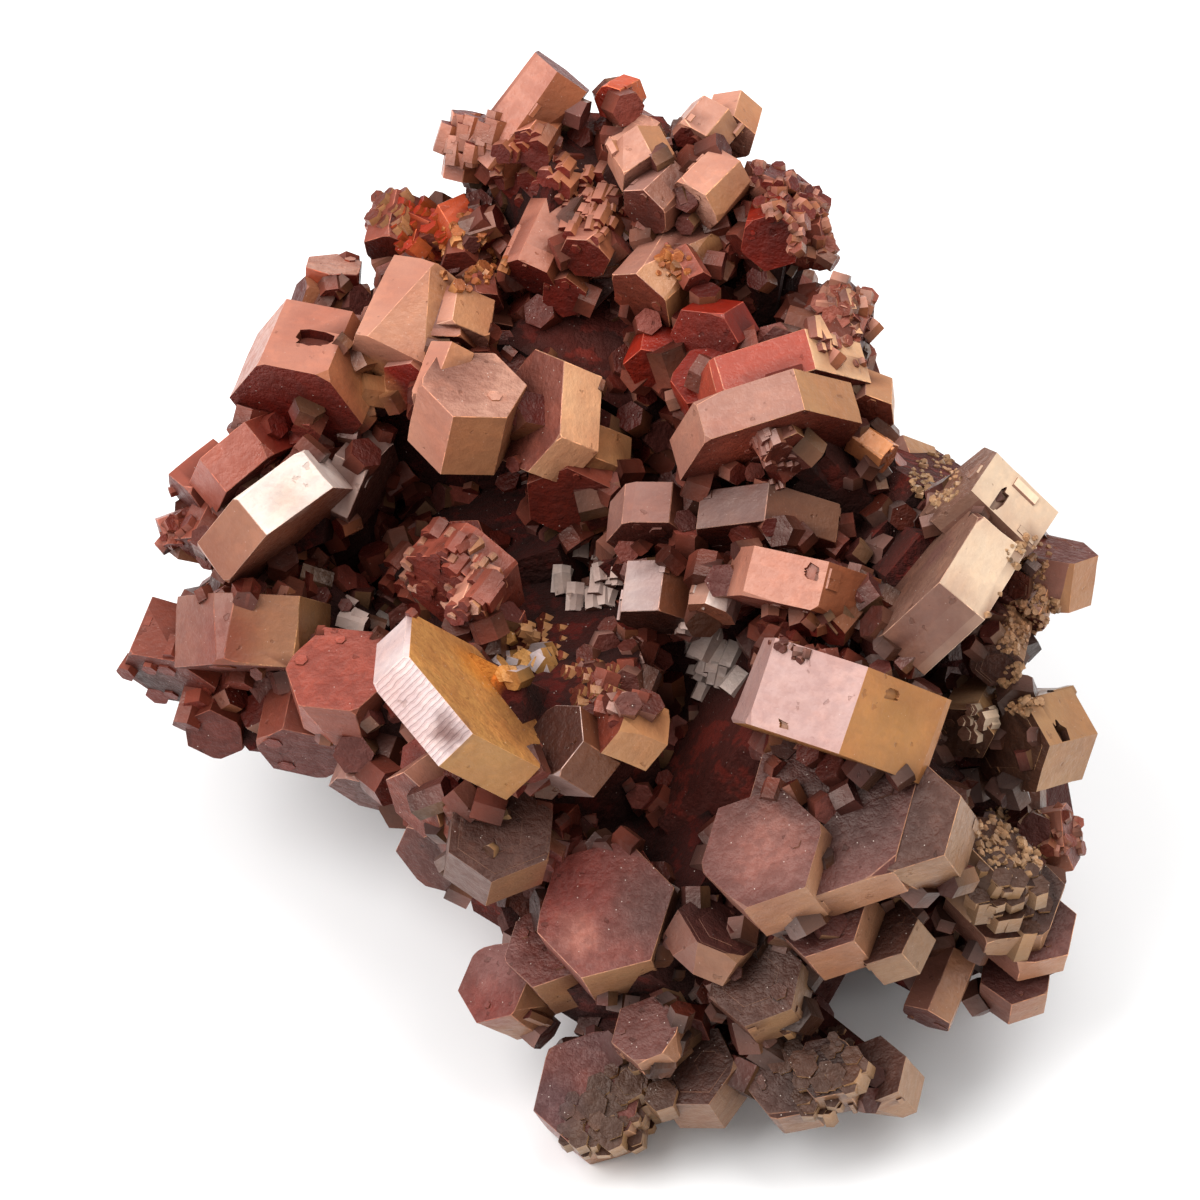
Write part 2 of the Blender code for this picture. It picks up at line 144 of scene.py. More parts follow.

# %% [markdown]
# Every crystal of the front is one row: where its free end is, how big it is and which way it points.
# A row also names its look, because colour follows growth: crystals of one generation share it. The
# colours are those of the end and of two kinds of sides: those that look along split, and the others.
# The two side colours are partly the stone's own tan and red, and partly painted sheen: the gloss of
# the lamps laid into the colour of the sides that face them.

# %% The looks
Look = namedtuple("Look", "end left right split", defaults=((-0.93, 0.3, 0.1),))
# Near-white sides, like white's right and silver's and gold's left, are painted lamp reflections.
LOOKS = {
    "pink": Look((100, 36, 29), (170, 112, 94), (164, 104, 74)),
    "rose": Look((132, 70, 56), (184, 128, 108), (150, 92, 64)),
    "blush": Look((186, 138, 118), (182, 128, 108), (172, 120, 86)),
    "flush": Look((130, 34, 24), (196, 148, 134), (172, 116, 92)),
    "red": Look((104, 42, 33), (140, 76, 62), (128, 66, 52)),
    "salmon": Look((150, 78, 66), (142, 78, 64), (128, 76, 60)),
    "russet": Look((176, 128, 110), (152, 72, 50), (118, 48, 38)),
    "ember": Look((150, 46, 26), (180, 76, 44), (158, 76, 40)),
    "blood": Look((110, 32, 22), (132, 38, 26), (116, 36, 24)),
    "umber": Look((98, 46, 34), (122, 98, 92), (106, 70, 52)),
    "ledge": Look((112, 50, 40), (150, 64, 50), (212, 168, 128)),
    "white": Look((130, 82, 62), (150, 100, 78), (228, 214, 204), (-0.7, -0.7, 0)),
    "silver": Look((92, 60, 52), (192, 172, 162), (132, 102, 94), (0.1, 0.9, 0.4)),
    "cream": Look((112, 64, 54), (122, 72, 60), (226, 174, 132)),
    "tan": Look((104, 50, 38), (154, 108, 94), (174, 126, 86)),
    "gold": Look((190, 136, 78), (212, 192, 190), (172, 124, 72)),
    "amber": Look((172, 118, 68), (178, 144, 138), (176, 122, 72)),
    "ochre": Look((150, 84, 46), (204, 138, 88), (190, 118, 66)),
    "straw": Look((74, 50, 39), (140, 110, 84), (158, 122, 86)),
    "sand": Look((164, 128, 94), (176, 140, 106), (164, 124, 88)),
    "mauve": Look((86, 44, 37), (146, 108, 98), (118, 76, 60)),
    "grey": Look((72, 42, 34), (166, 146, 142), (110, 70, 50)),
    "mottled": Look((124, 92, 78), (108, 72, 62), (206, 180, 154)),
    "plum": Look((98, 60, 55), (124, 86, 74), (158, 114, 86)),
    "wine": Look((104, 56, 50), (126, 78, 70), (152, 112, 82)),
    "dark": Look((78, 50, 42), (98, 68, 58), (142, 108, 80)),
    # The deep look is near black so that lumps seen in the gaps read dark: painted shade.
    "deep": Look((56, 16, 12), (74, 28, 22), (62, 22, 16)),
}
print("looks:", len(LOOKS))

# %% The crystals of the upper left
Crystal = namedtuple("Crystal", "name look middle side length clock tilt turn wide", defaults=(0,))
UPPER_LEFT = [
    Crystal("lip", "pink", (-15.3, 9.5, -1), 3.5, 4.6, 199, 38, 48),
    Crystal("lip red", "red", (-17.2, 6.1, -2), 2.9, 2.2, 141, 8, 57),
    Crystal("white", "white", (-15.4, 3.2, 0), 4.2, 2.5, 140, 8, 20),
    Crystal("grey", "silver", (-11.5, 5.6, -3), 2.7, 1.9, 117, 12, 45),
    Crystal("lip arm", "red", (-21.0, 5.0, -4), 1.8, 3, 230, 15, 20),
    Crystal("arm tip", "red", (-22.4, 3.4, -4), 0.9, 2.5, 250, 10, 40),
    Crystal("arm foot", "red", (-20.2, 2.4, -3), 1.6, 3, 205, 20, 5),
    Crystal("small red", "russet", (-13.7, 17.3, -6), 1.6, 4, 5, 25, 30),
    Crystal("left top", "pink", (-11.2, 20.2, -7), 1.4, 2.5, 315, 30, 10),
    Crystal("left top low", "red", (-10.8, 17.9, -6), 1.5, 3, 190, 30, 20),
    Crystal("left ochre", "ember", (-8.5, 20.0, -6), 1.6, 3, 10, 25, 35),
    Crystal("left chip", "ember", (-8.6, 18.2, -5), 1.2, 3, 40, 40, 10),
    Crystal("crust ochre", "ember", (-6.2, 17.6, -4), 1.5, 3, 150, 30, 10),
    Crystal("five", "blush", (-8.7, 16.1, -2), 2.3, 5, 24, -25, 30),
    Crystal("five front", "blush", (-7.5, 12.9, -1), 2.2, 2.2, 188, 25, 30),
    Crystal("round", "red", (-5.9, 14.8, -2), 1.1, 2, 170, 40, 20),
    Crystal("round low", "mauve", (-5.5, 13.0, -3), 1.6, 3, 160, 40, 40),
    Crystal("pale slab", "pink", (-8.2, 12.5, -1), 2.2, 2, 180, 20, 5),
    Crystal("pink slab", "flush", (-9.4, 10.5, 0), 1.8, 1.8, 216, 38, 5),
    Crystal("centre", "blush", (-6.2, 10.6, 4), 2.7, 4, 15, 45, 40),
    Crystal("centre left", "blush", (-8.2, 9.6, 3), 1.3, 3, 200, 20, 20),
    Crystal("cream", "cream", (-3.4, 9.4, 2), 2.6, 2.6, 290, 39, 34, 1.4),
    Crystal("cream low", "tan", (-1.4, 7.6, 1), 1.8, 2.6, 290, 39, 34),
]
print("upper left:", len(UPPER_LEFT))

# %% The crystals of the top
TOP = [
    Crystal("spire", "pink", (-6.6, 24.8, -4), 1.1, 3.4, 10, 15, 20),
    Crystal("peak", "pink", (-1.9, 26.7, -2), 1.9, 6, 38, 11, 27),
    Crystal("peak small", "pink", (-3.6, 22.8, -1), 1.1, 2, 214, 47, 8),
    Crystal("peak foot", "red", (-5.2, 22.8, -3), 1.2, 3, 220, 40, 20),
    Crystal("row a", "pink", (-3.6, 16.2, -1), 1.6, 4.5, 204, 22, 0),
    Crystal("row b", "pink", (-0.8, 17.0, 1), 1.4, 3.4, 203, 40, 34),
    Crystal("row c", "pink", (-1.8, 15.2, -1), 1.3, 2.2, 206, 45, 15),
    Crystal("row d", "tan", (2.0, 14.8, 2), 1.95, 5.4, 222, 27, 59),
    Crystal("row e", "blush", (2.5, 21.2, 1), 1.7, 1.9, 154, 24, 44),
    Crystal("row f", "mauve", (2.2, 19.2, 2), 1.5, 2.6, 225, 30, 0),
    Crystal("row g", "blush", (4.6, 19.5, 2), 1.65, 2.8, 224, 24, 35),
    Crystal("top h", "ember", (0.5, 25.1, -2), 1, 2, 235, 50, 18),
    Crystal("top i", "blush", (1.6, 23.5, -1), 1.5, 3, 330, 40, 10),
    Crystal("top j", "blush", (4.7, 22.8, 0), 1.5, 2, 218, 22, 42),
    Crystal("top k", "blush", (6.4, 23.2, -1), 1.5, 2.2, 196, 45, 30),
    Crystal("crust one", "pink", (8.7, 21.4, 0), 1.5, 3, 20, 20, 10),
    Crystal("crust two", "pink", (10.5, 20.4, -1), 1.4, 3, 50, 25, 30),
    Crystal("crust three", "red", (11.4, 18.2, -1), 1.4, 3, 80, 15, 0),
    Crystal("crust four", "pink", (9.6, 19.4, 1), 1.1, 3, 40, 55, 15),
    Crystal("red m", "blood", (8.4, 17.6, 3), 1.6, 3, 197, 60, 24),
    Crystal("right lump", "red", (12.9, 14.8, 0), 1.8, 3, 60, 20, 10),
    Crystal("right lump low", "red", (13.1, 12.8, 0), 1.6, 3, 110, 10, 20),
    Crystal("small pink", "red", (4.8, 15.6, 3), 0.8, 2, 150, 30, 10),
]
print("top:", len(TOP))

# %% The crystals of the right
RIGHT = [
    Crystal("red n", "blood", (5.1, 12.8, 4), 1.6, 2, 236, 48, 5, 0.8),
    Crystal("red s", "blood", (5.3, 11.0, 5), 2, 3, 340, 50, 20),
    Crystal("red s left", "blood", (2.6, 11.4, 2), 1.5, 3, 190, 40, 0),
    Crystal("big o", "tan", (8.2, 7.1, 8), 4.3, 2.2, 166, 21, 51, 0.6),
    Crystal("back q", "ledge", (8.9, 9.2, 5.6), 4.2, 2.2, 166, 21, 51, 0.6),
    Crystal("right p", "tan", (13.0, 8.9, 6), 1.4, 2, 186, 47, 18),
    Crystal("ochre r", "ochre", (13.9, 6.8, 7), 0.9, 2, 125, 20, 20),
    Crystal("block w", "umber", (8.1, 2.4, 6), 3.9, 2, 188, 20, 23),
    Crystal("block v", "mauve", (2.5, 2.8, 5), 2.25, 2.3, 186, 29, 49),
    Crystal("plate one", "tan", (8.9, 7.0, 10), 1.3, 1.2, 150, 35, 10),
    Crystal("front low", "red", (-1.5, 4.8, 1), 2.4, 3, 190, 45, 20),
    Crystal("grey mid", "grey", (2.7, -1.1, 6), 2.05, 2.6, 188, 17, 30),
    Crystal("small tall", "white", (5.3, -0.7, 8), 1.3, 1.9, 199, 20, 10),
    Crystal("pink mid", "rose", (9.3, -0.6, 10), 3.7, 2.4, 194, 4, 42),
    Crystal("big tan", "amber", (10.6, -7.2, 12), 4.75, 4.2, 199, 3, 97, 0.8),
    Crystal("big right", "mottled", (15.1, 1.4, 12), 4.3, 2.8, 309, 10, 32),
    Crystal("upper right", "mottled", (17.0, 5.5, 10), 2.6, 4.2, 313, 12, 30),
    Crystal("stub", "tan", (22.1, 2.5, 6), 2.1, 2.6, 6, 21, 10),
    Crystal("stub low", "tan", (20.6, 0.2, 5), 1.4, 3, 200, 30, 10),
    Crystal("tan bit", "tan", (20.4, -1.0, 7), 1.2, 2.5, 200, 30, 0),
    Crystal("dark hex", "dark", (18.9, -3.1, 9), 1.4, 3.5, 200, 50, 25),
    Crystal("frame", "straw", (19.6, -7.0, 8), 2.6, 3.6, 259, 43, 36),
    Crystal("ledge", "straw", (17.4, -6.4, 8), 1.6, 3, 215, 50, 20),
    Crystal("far right", "rose", (23.2, -11.6, 3), 1.8, 3, 80, 20, 20),
]
print("right:", len(RIGHT))

# %% The crystals of the middle and the left
MIDDLE = [
    Crystal("yellow", "gold", (-5.9, -4.2, 12), 4.9, 2.3, 46, 16, 13),
    Crystal("mauve w", "grey", (-2.2, -6.6, 11), 2.05, 2.7, 303, 39, 8),
    Crystal("ledge x", "tan", (0.2, -5.6, 11), 1.8, 2.7, 293, 31, 29),
    Crystal("foot y", "tan", (-9.0, -9.9, 7), 1.95, 2.4, 234, 32, 36),
    Crystal("mid ledge", "red", (-7.4, 0.2, 3), 3, 2.5, 220, 30, 0),
    Crystal("mid small", "rose", (-6.4, -1.0, 6), 1.2, 3, 200, 40, 0),
    Crystal("pink u", "salmon", (-12.9, -3.4, 2), 2.9, 3, 350, 50, 20),
    Crystal("left block", "tan", (-17.6, -3.6, -2), 3.9, 3.6, 182, 6, 10),
    Crystal("far left", "red", (-22.0, -4.1, -4), 2.75, 3.5, 200, 25, 35),
    Crystal("left foot", "red", (-19.7, -6.9, -4), 1.7, 3, 195, 50, 15),
    Crystal("left low", "red", (-15.0, -7.8, -2), 2.6, 3, 190, 30, 5),
    Crystal("left lower", "mauve", (-11.6, -9.8, 0), 2.2, 3, 200, 20, 40),
    Crystal("hex plate", "dark", (-4.7, -11.0, 10), 2.5, 3, 15, 62, 21, 0.5),
    Crystal("plate back", "mauve", (-8.2, -12.8, 4), 2.2, 3, 220, 40, 21),
]
print("middle:", len(MIDDLE))

# %% The crystals at the bottom
LOWER = [
    Crystal("stack slab", "plum", (10.6, -9.9, 12.8), 4.5, 3, 321, 60, 22),
    Crystal("stack one", "plum", (7.5, -11.5, 14), 3.1, 3.6, 321, 57, 22),
    Crystal("stack two", "dark", (14.0, -10.0, 14), 2.95, 4, 321, 62, 23),
    Crystal("stack low", "plum", (10.4, -14.6, 11), 2.5, 3, 321, 55, 23),
    Crystal("cream low right", "dark", (13.4, -15.7, 10), 1.9, 2, 319, 42, 30),
    Crystal("side right", "straw", (19.4, -12.0, 9), 2.4, 3, 40, 32, 10),
    Crystal("terrace", "dark", (19.7, -14.1, 6), 3, 1.7, 10, 56, 42),
    Crystal("terrace low", "plum", (21.0, -15.8, 5), 2.4, 1.6, 5, 55, 40),
    Crystal("terrace foot", "plum", (20.4, -18.2, 4), 1.9, 2, 0, 55, 40),
    Crystal("arm low", "plum", (15.9, -20.4, 5), 1.4, 3.5, 205, 20, 20),
    Crystal("j", "wine", (0.2, -14.8, 8), 3.45, 4, 335, 66, 11, 0.3),
    Crystal("k", "wine", (-5.2, -18.7, 4), 2.2, 3.5, 300, 50, 51),
    Crystal("l", "wine", (-2.6, -16.8, 5), 2.3, 3.4, 325, 55, 18),
    Crystal("p", "dark", (7.4, -18.1, 9), 2.4, 3, 327, 62, 13),
    Crystal("q", "plum", (5.7, -15.6, 9), 2.2, 1.8, 29, 30, 48),
    Crystal("m", "wine", (-0.5, -23.8, 5), 2.9, 4, 334, 67, 7, 0.3),
    Crystal("n", "dark", (4.4, -22.6, 6), 2.3, 3, 330, 55, 33),
    Crystal("o", "dark", (9.0, -23.2, 7), 2, 3, 325, 64, 25),
    Crystal("o upper", "dark", (10.9, -22.4, 8), 1.7, 2.6, 330, 60, 20),
    Crystal("o right", "dark", (13.2, -22.8, 6), 1.8, 3, 320, 55, 20),
    Crystal("thin plate", "plum", (2.2, -20.6, 8), 1.8, 1.4, 330, 55, 10),
]
CRYSTALS = UPPER_LEFT + TOP + RIGHT + MIDDLE + LOWER
print("crystals of the front:", len(CRYSTALS))

# %% [markdown]
# A crystal points along its own axis. Across and up span its free end, so a place on the end face is
# two numbers and a place on a side is an angle and a depth. Everything that grows on a crystal is
# described in those terms, which keeps small ledges parallel to the crystal as they are in nature.

# %% Directions of a crystal
def axes_of(clock, tilt):
    across = Vector((math.cos(math.radians(clock)), -math.sin(math.radians(clock)), 0))
    lean = math.cos(math.radians(tilt))
    out = Vector((lean * math.sin(math.radians(clock)), lean * math.cos(math.radians(clock)),
                  math.sin(math.radians(tilt))))
    return across, across.cross(out), out


def axes_along(direction):
    out = direction.normalized()
    clock = math.degrees(math.atan2(out.x, out.y))
    tilt = math.degrees(math.asin(max(-1, min(1, out.z))))
    return axes_of(clock, tilt)


def crystal_frame(middle, axes):
    made = Matrix(axes).transposed().to_4x4()
    made.translation = Vector(middle)
    return made


# %% [markdown]
# One crystal starts as a six-sided cone with both ends capped. Real prisms aren't regular, so two
# opposite sides can be longer. The end then gets growth layers: the face is inset for a margin, and
# inset again with a depth for a step, and the inner face slides a little so that no margin is even.

# %% Six-sided block
def hexagon_block(side, length, turn=0, wide=0, shrink=1.0):
    shape = bmesh.new()
    bmesh.ops.create_cone(shape, cap_ends=True, segments=6, radius1=side * shrink, radius2=side,
                          depth=length)
    bmesh.ops.rotate(shape, verts=shape.verts, cent=(0, 0, 0),
                     matrix=Matrix.Rotation(math.radians(turn - 30), 3, "Z"))
    longer = math.radians(turn + 120)
    edge = Vector((math.cos(longer), math.sin(longer), 0))
    for corner in shape.verts:
        corner.co += edge * (wide / 2 if corner.co.dot(edge) > 0 else -wide / 2)
    bmesh.ops.translate(shape, verts=shape.verts, vec=(0, 0, -length / 2))
    shape.normal_update()
    return shape


def step_face(shape, face, margin, rise, slide):
    """A margin and then a small step on one face. The face itself ends up as the inner one."""
    bmesh.ops.inset_individual(shape, faces=[face], thickness=margin, use_even_offset=True)
    bmesh.ops.translate(shape, verts=face.verts, vec=slide)
    bmesh.ops.inset_individual(shape, faces=[face], thickness=abs(rise) * 0.3, depth=rise,
                               use_even_offset=True)
    shape.normal_update()


def layered_end(shape, side, layers, dice):
    """Growth layers on the free end, some raised and some sunk."""
    for _ in range(layers):
        end = max((face for face in shape.faces if face.normal.z > 0.9),
                  key=lambda face: face.calc_area())
        margin = side * dice.uniform(0.08, 0.32)
        rise = dice.choice((-1, 1)) * dice.uniform(0.01, 0.035)
        around = dice.uniform(0, math.tau)
        slide = Vector((math.cos(around), math.sin(around), 0)) * margin * dice.uniform(0.4, 0.95)
        step_face(shape, end, margin, rise, slide)


def ringed_sides(shape, side, length, dice):
    """Growth rings: planes across the crystal that let its sides step in and out a little."""
    depth = side * dice.uniform(0.15, 0.35)
    inward = 0
    while depth < length * 0.85:
        cut = bmesh.ops.bisect_plane(shape, geom=shape.verts[:] + shape.edges[:] + shape.faces[:],
                                     plane_co=(0, 0, -depth), plane_no=(0, 0, 1))
        ring = [part for part in cut["geom_cut"] if isinstance(part, bmesh.types.BMVert)]
        for corner in ring:
            corner.co.x *= 1 + dice.uniform(-0.012, 0.012)
            corner.co.y *= 1 + dice.uniform(-0.012, 0.012)
        depth += side * dice.uniform(0.2, 0.6)


# %% [markdown]
# Corners are the first thing that breaks off a crystal. A chip is one plane that cuts the corner away,
# square to the way the corner points, and the hole is closed with a new flat face. All chips stay under
# a seventh of a millimetre, so that the outline of a crystal survives them.

# %% Chipped corners
def chip_corners(shape, side, count, dice):
    """Cuts a few corners off with a plane square to the corner and closes the cut."""
    for _ in range(count):
        corners = [corner for corner in shape.verts if corner.co.z > -side * 0.6]
        if not corners:
            return
        outward = dice.choice(corners).normal + Vector([dice.uniform(-0.25, 0.25) for _ in range(3)])
        outward.normalize()
        farthest = max(corners, key=lambda each: each.co.dot(outward)).co
        depth = min(side * dice.uniform(0.03, 0.1), 0.14)
        cut = bmesh.ops.bisect_plane(shape, geom=shape.verts[:] + shape.edges[:] + shape.faces[:],
                                     plane_co=farthest - outward * depth, plane_no=outward,
                                     clear_outer=True)
        border = [part for part in cut["geom_cut"] if isinstance(part, bmesh.types.BMEdge)]
        if border:
            bmesh.ops.holes_fill(shape, edges=border)
        shape.normal_update()


# %% [markdown]
# Some faces have a pit or a notch: either the crystal stopped filling in there, or acid water ate it
# out. A pit is a small ragged copy of its face, pushed in. Its place is where the picture has it: a
# ray from the camera through that place finds the face and the spot on it.

# %% Pits and notches
Pit = namedtuple("Pit", "crystal right up wide tall depth")
PITS = [
    Pit("lip", -14.2, 13.1, 1.0, 0.6, 0.6),
    Pit("upper right", 19.8, 5.0, 1.1, 0.55, 0.2),
    Pit("frame", 23.0, -6.8, 0.8, 0.8, 0.5),
    Pit("pink mid", 10.6, 1.4, 0.35, 0.55, 0.15),
    Pit("big tan", 9.2, -6.2, 0.2, 0.55, 0.15),
    Pit("big tan", 14.6, -4.8, 0.5, 0.35, 0.15),
]


def add_pits(shape, crystal, place):
    inner = shape.faces.layers.int.new("inner")
    own_dice = random.Random(crystal.name)
    from_view = place.inverted()
    eye = from_view @ Vector((0, 0, VIEW_DISTANCE))
    for pit in (each for each in PITS if each.crystal == crystal.name):
        shape.faces.ensure_lookup_table()
        toward = (from_view @ Vector((pit.right, pit.up, 0)) - eye).normalized()
        spot, normal, index, _ = BVHTree.FromBMesh(shape).ray_cast(eye, toward)
        if spot is None:
            continue
        face = shape.faces[index]
        across = normal.cross(from_view.to_3x3() @ Vector((0, 1, 0))).normalized()
        along = normal.cross(across)
        bmesh.ops.inset_individual(shape, faces=[face], thickness=0.05)
        for _ in range(2):
            for edge in list(face.edges):
                bmesh.utils.edge_split(edge, edge.verts[0], 0.5)
        for corner in face.verts:
            out = corner.co - spot
            way = out.normalized()
            wanted = across * way.dot(across) * pit.wide + along * way.dot(along) * pit.tall
            corner.co = spot + way * min(out.length, wanted.length * own_dice.uniform(0.7, 1.15))
        ring = bmesh.ops.inset_individual(shape, faces=[face], thickness=0.04, depth=-pit.depth)
        for each in [face] + ring["faces"]:
            each[inner] = 1
        shape.normal_update()


# %% [markdown]
# Sharp mathematical edges look like plastic cut on a saw. A bevel a few hundredths of a millimetre wide
# catches the light as the thin pale line that runs along each real edge. The bevel's own faces are
# remembered, because chipped edges are paler and rougher than the faces beside them; their paler
# colour is also partly a painted highlight along the edge.

# %% Bevel, and what each face has to know
def bevel_edges(shape, width, segments=1):
    """Bevels every sharp edge and returns the new faces."""
    sharp = [edge for edge in shape.edges
             if edge.is_manifold and edge.calc_face_angle(0) > math.radians(25)]
    made = bmesh.ops.bevel(shape, geom=sharp, offset=width, offset_type="OFFSET", segments=segments,
                           profile=0.5, affect="EDGES", clamp_overlap=True, material=-1)
    return made["faces"]


def linear(colour):
    """From the 0 to 255 of a colour chart to the linear light that a shader works in."""
    return tuple((part / 255) ** 2.2 for part in colour)


def mixed(first, second, share):
    share = max(0.0, min(1.0, share))
    return tuple(a + (b - a) * share for a, b in zip(first, second))


RIBBED = {"yellow": (-0.35, -0.03, 0.93)}
# The low left of the cluster lies in the shade of the rest, and is darker and more stained.
LEFT_SHADE = 0.78


def finish_block(shape, look, frame_matrix, rims, dice, shade=1.0, root=None, pitted=None):
    """Colours each face by the way it looks, and lays out a pattern that follows the crystal.
    A root of (length, share) darkens the block toward the end that it grew from."""
    tint = shape.loops.layers.float_color.new("tint")
    kind = shape.loops.layers.float_color.new("kind")
    flat = shape.loops.layers.uv.new("along")
    rims = set(rims)
    turned = frame_matrix.to_3x3()
    start = Vector((dice.uniform(-50, 50), dice.uniform(-50, 50)))
    vary = dice.uniform(0.88, 1.1) * shade
    rib_way = Vector(RIBBED.get(pitted.name, (0, 0, 0)) if pitted else (0, 0, 0))
    inner = shape.faces.layers.int.get("inner")
    deep = float(look == LOOKS["deep"])
    for face in shape.faces:
        normal = face.normal
        is_end = normal.z > 0.8
        if is_end:
            colour = linear(look.end)
        else:
            # Side colour by the way a face looks: the stone's tones, with painted sheen on faces toward
            # the lamps.
            toward = (turned @ normal).normalized().dot(Vector(look.split).normalized())
            colour = mixed(linear(look.right), linear(look.left), 0.5 + toward * 2.6)
        if inner and face[inner]:
            colour = mixed(linear(look.end), colour, 0.3)
        # Rims are paler: partly worn, chipped stone and partly a painted highlight along the edge.
        if face in rims:
            colour = mixed(colour, linear(mixed(look.right, (236, 204, 176), 0.5)), 0.22)
        sideways = Vector((-normal.y, normal.x, 0))
        sideways = sideways.normalized() if sideways.length > 0.01 else Vector((1, 0, 0))
        ribbed = float((turned @ normal).dot(rib_way) > 0.97)
        for loop in face.loops:
            place = loop.vert.co
            light = vary
            # Painted shade: a root darkens the block toward the end it grew from, where it sits in a
            # gap.
            if root:
                light *= 1 + (root[1] - 1) * min(1, -place.z / root[0])
            loop[tint] = (*[part * light for part in colour], 1)
            loop[kind] = (float(is_end), float(face in rims), deep, ribbed)
            across = (place.x, place.y) if abs(normal.z) > 0.8 else (place.dot(sideways), place.z)
            loop[flat].uv = start + Vector(across)
    return shape


def to_mesh(shape, matrix):
    made = bpy.data.meshes.new("growing")
    shape.to_mesh(made)
    shape.free()
    made.transform(matrix)
    if matrix.determinant() < 0:
        made.flip_normals()
    return made


# %% [markdown]
# Big crystals are bundles: plates and blocks with the same bearing that stick out of the ends and
# sides by a tenth of a millimetre or two. They are what makes the photo's faces look broken into
# rectangles. They are scattered here with a seeded die, more of them where a crystal is larger.

# %% Blocks that grow parallel to a crystal
def block_on_end(side, turn, dice):
    around = math.radians(turn + 60 * dice.randrange(6) + dice.uniform(-20, 20))
    width = side * dice.uniform(0.06, 0.2)
    reach = side * dice.uniform(0.6, 0.92) - width
    rise = dice.uniform(0.02, 0.12)
    return Vector((math.cos(around) * reach, math.sin(around) * reach, rise)), width, 1.2


def block_on_side(side, length, turn, dice):
    around = math.radians(turn + 30 + 60 * dice.randrange(6))
    width = side * dice.uniform(0.08, 0.2)
    proud = dice.uniform(0.01, 0.12)
    reach = side * 0.866 - width * 0.866 + proud
    along = dice.choice((-1, 1)) * dice.uniform(0.36, 0.5) * (side - width)
    middle = Vector((math.cos(around) * reach - math.sin(around) * along,
                     math.sin(around) * reach + math.cos(around) * along,
                     -dice.uniform(0.0, 0.8) * length))
    return middle, width, length * dice.uniform(0.12, 0.5)


def parallel_blocks(crystal, count, dice):
    """(matrix in the crystal's frame, width, depth) of each block."""
    for _ in range(count):
        if dice.random() < 0.45:
            yield block_on_end(crystal.side, crystal.turn, dice)
        else:
            yield block_on_side(crystal.side, crystal.length, crystal.turn, dice)


# %% The two grown surfaces so far
growth = bmesh.new()
crust = bmesh.new()


def add_to(surface, shape, matrix):
    part = to_mesh(shape, matrix)
    surface.from_mesh(part)
    bpy.data.meshes.remove(part)


def grow(look, middle, side, length, axes, turn, wide=0, shrink=1.0, layers=0, rings=False,
         bevel=0.03, dice=None, shade=1.0, chips=0, root=None, cuts=0, pitted=None, onto=growth):
    shape = hexagon_block(side, length, turn, wide, shrink)
    if layers:
        layered_end(shape, side, layers, dice)
    if rings:
        ringed_sides(shape, side, length, dice)
    if chips:
        chip_corners(shape, side, chips, dice)
    if pitted:
        add_pits(shape, pitted, crystal_frame(middle, axes))
    if cuts:
        bmesh.ops.poke(shape, faces=[face for face in shape.faces if len(face.verts) > 4])
        bmesh.ops.subdivide_edges(shape, edges=shape.edges, cuts=cuts, use_grid_fill=True)
    rims = bevel_edges(shape, min(bevel, side * 0.12)) if bevel else []
    place = crystal_frame(middle, axes)
    shape.normal_update()
    finish_block(shape, look, place, rims, dice, shade, root, pitted)
    add_to(onto, shape, VIEW_TO_WORLD @ place)


# %% The crystals of the front
LAYERED = ("hex plate", "dark hex", "frame", "top i", "stub", "p", "n", "q")
BARE = ("yellow", "white", "lip", "big o", "big right")
dice = random.Random(SEED)
for crystal in CRYSTALS:
    axes = axes_of(crystal.clock, crystal.tilt)
    look = LOOKS[crystal.look]
    own_dice = random.Random(crystal.name)
    layers = 2 if crystal.name in LAYERED else 0
    grow(look, crystal.middle, crystal.side, crystal.length, axes, crystal.turn, crystal.wide,
         layers=layers, rings=True, dice=own_dice, chips=4, pitted=crystal,
         shade=LEFT_SHADE if crystal.middle[0] < -13 and crystal.middle[1] < 1 else 1)
    place = crystal_frame(crystal.middle, axes)
    count = 0 if crystal.wide or crystal.name in BARE else int(2 + crystal.side * 0.9)
    for middle, width, depth in parallel_blocks(crystal, count, own_dice):
        grow(look, place @ middle, width, depth, axes, crystal.turn, bevel=0, dice=own_dice,
             shade=own_dice.uniform(0.85, 1.2), chips=1)
print("faces so far:", len(growth.faces))

# %% [markdown]
# Behind them stand older, larger crystals, and each crystal of the front has a root that runs back
# into them. They show only in the gaps, as dark red flanks whose near-black colour is painted shade.
# The same lumps, roots and back crystals are in the plain solid, from the same seeded draws, so the
# back of this surface follows it.

# %% The lumps behind
Lump = namedtuple("Lump", "name middle size")
LUMPS = [
    Lump("peak", (-1, 20, -7), 5.5),
    Lump("upper mound", (2, 13, -10), 8.5),
    Lump("upper right", (7.5, 10.5, -6), 6),
    Lump("upper left", (-7, 12, -8), 5.5),
    Lump("arm", (-15, 5, -9), 5),
    Lump("left", (-15, -3, -8), 5.5),
    Lump("middle", (-4, 0, -9), 7.5),
    Lump("middle right", (8, 0, -4), 8),
    Lump("right", (15, 2, 0), 6),
    Lump("front", (-3, -7, 0), 7),
    Lump("front right", (11, -8, 1), 7.5),
    Lump("lower right", (17, -12, -2), 6.5),
    Lump("lower", (4, -16, -1), 7.5),
    Lump("back", (3, 2, -14), 9),
]

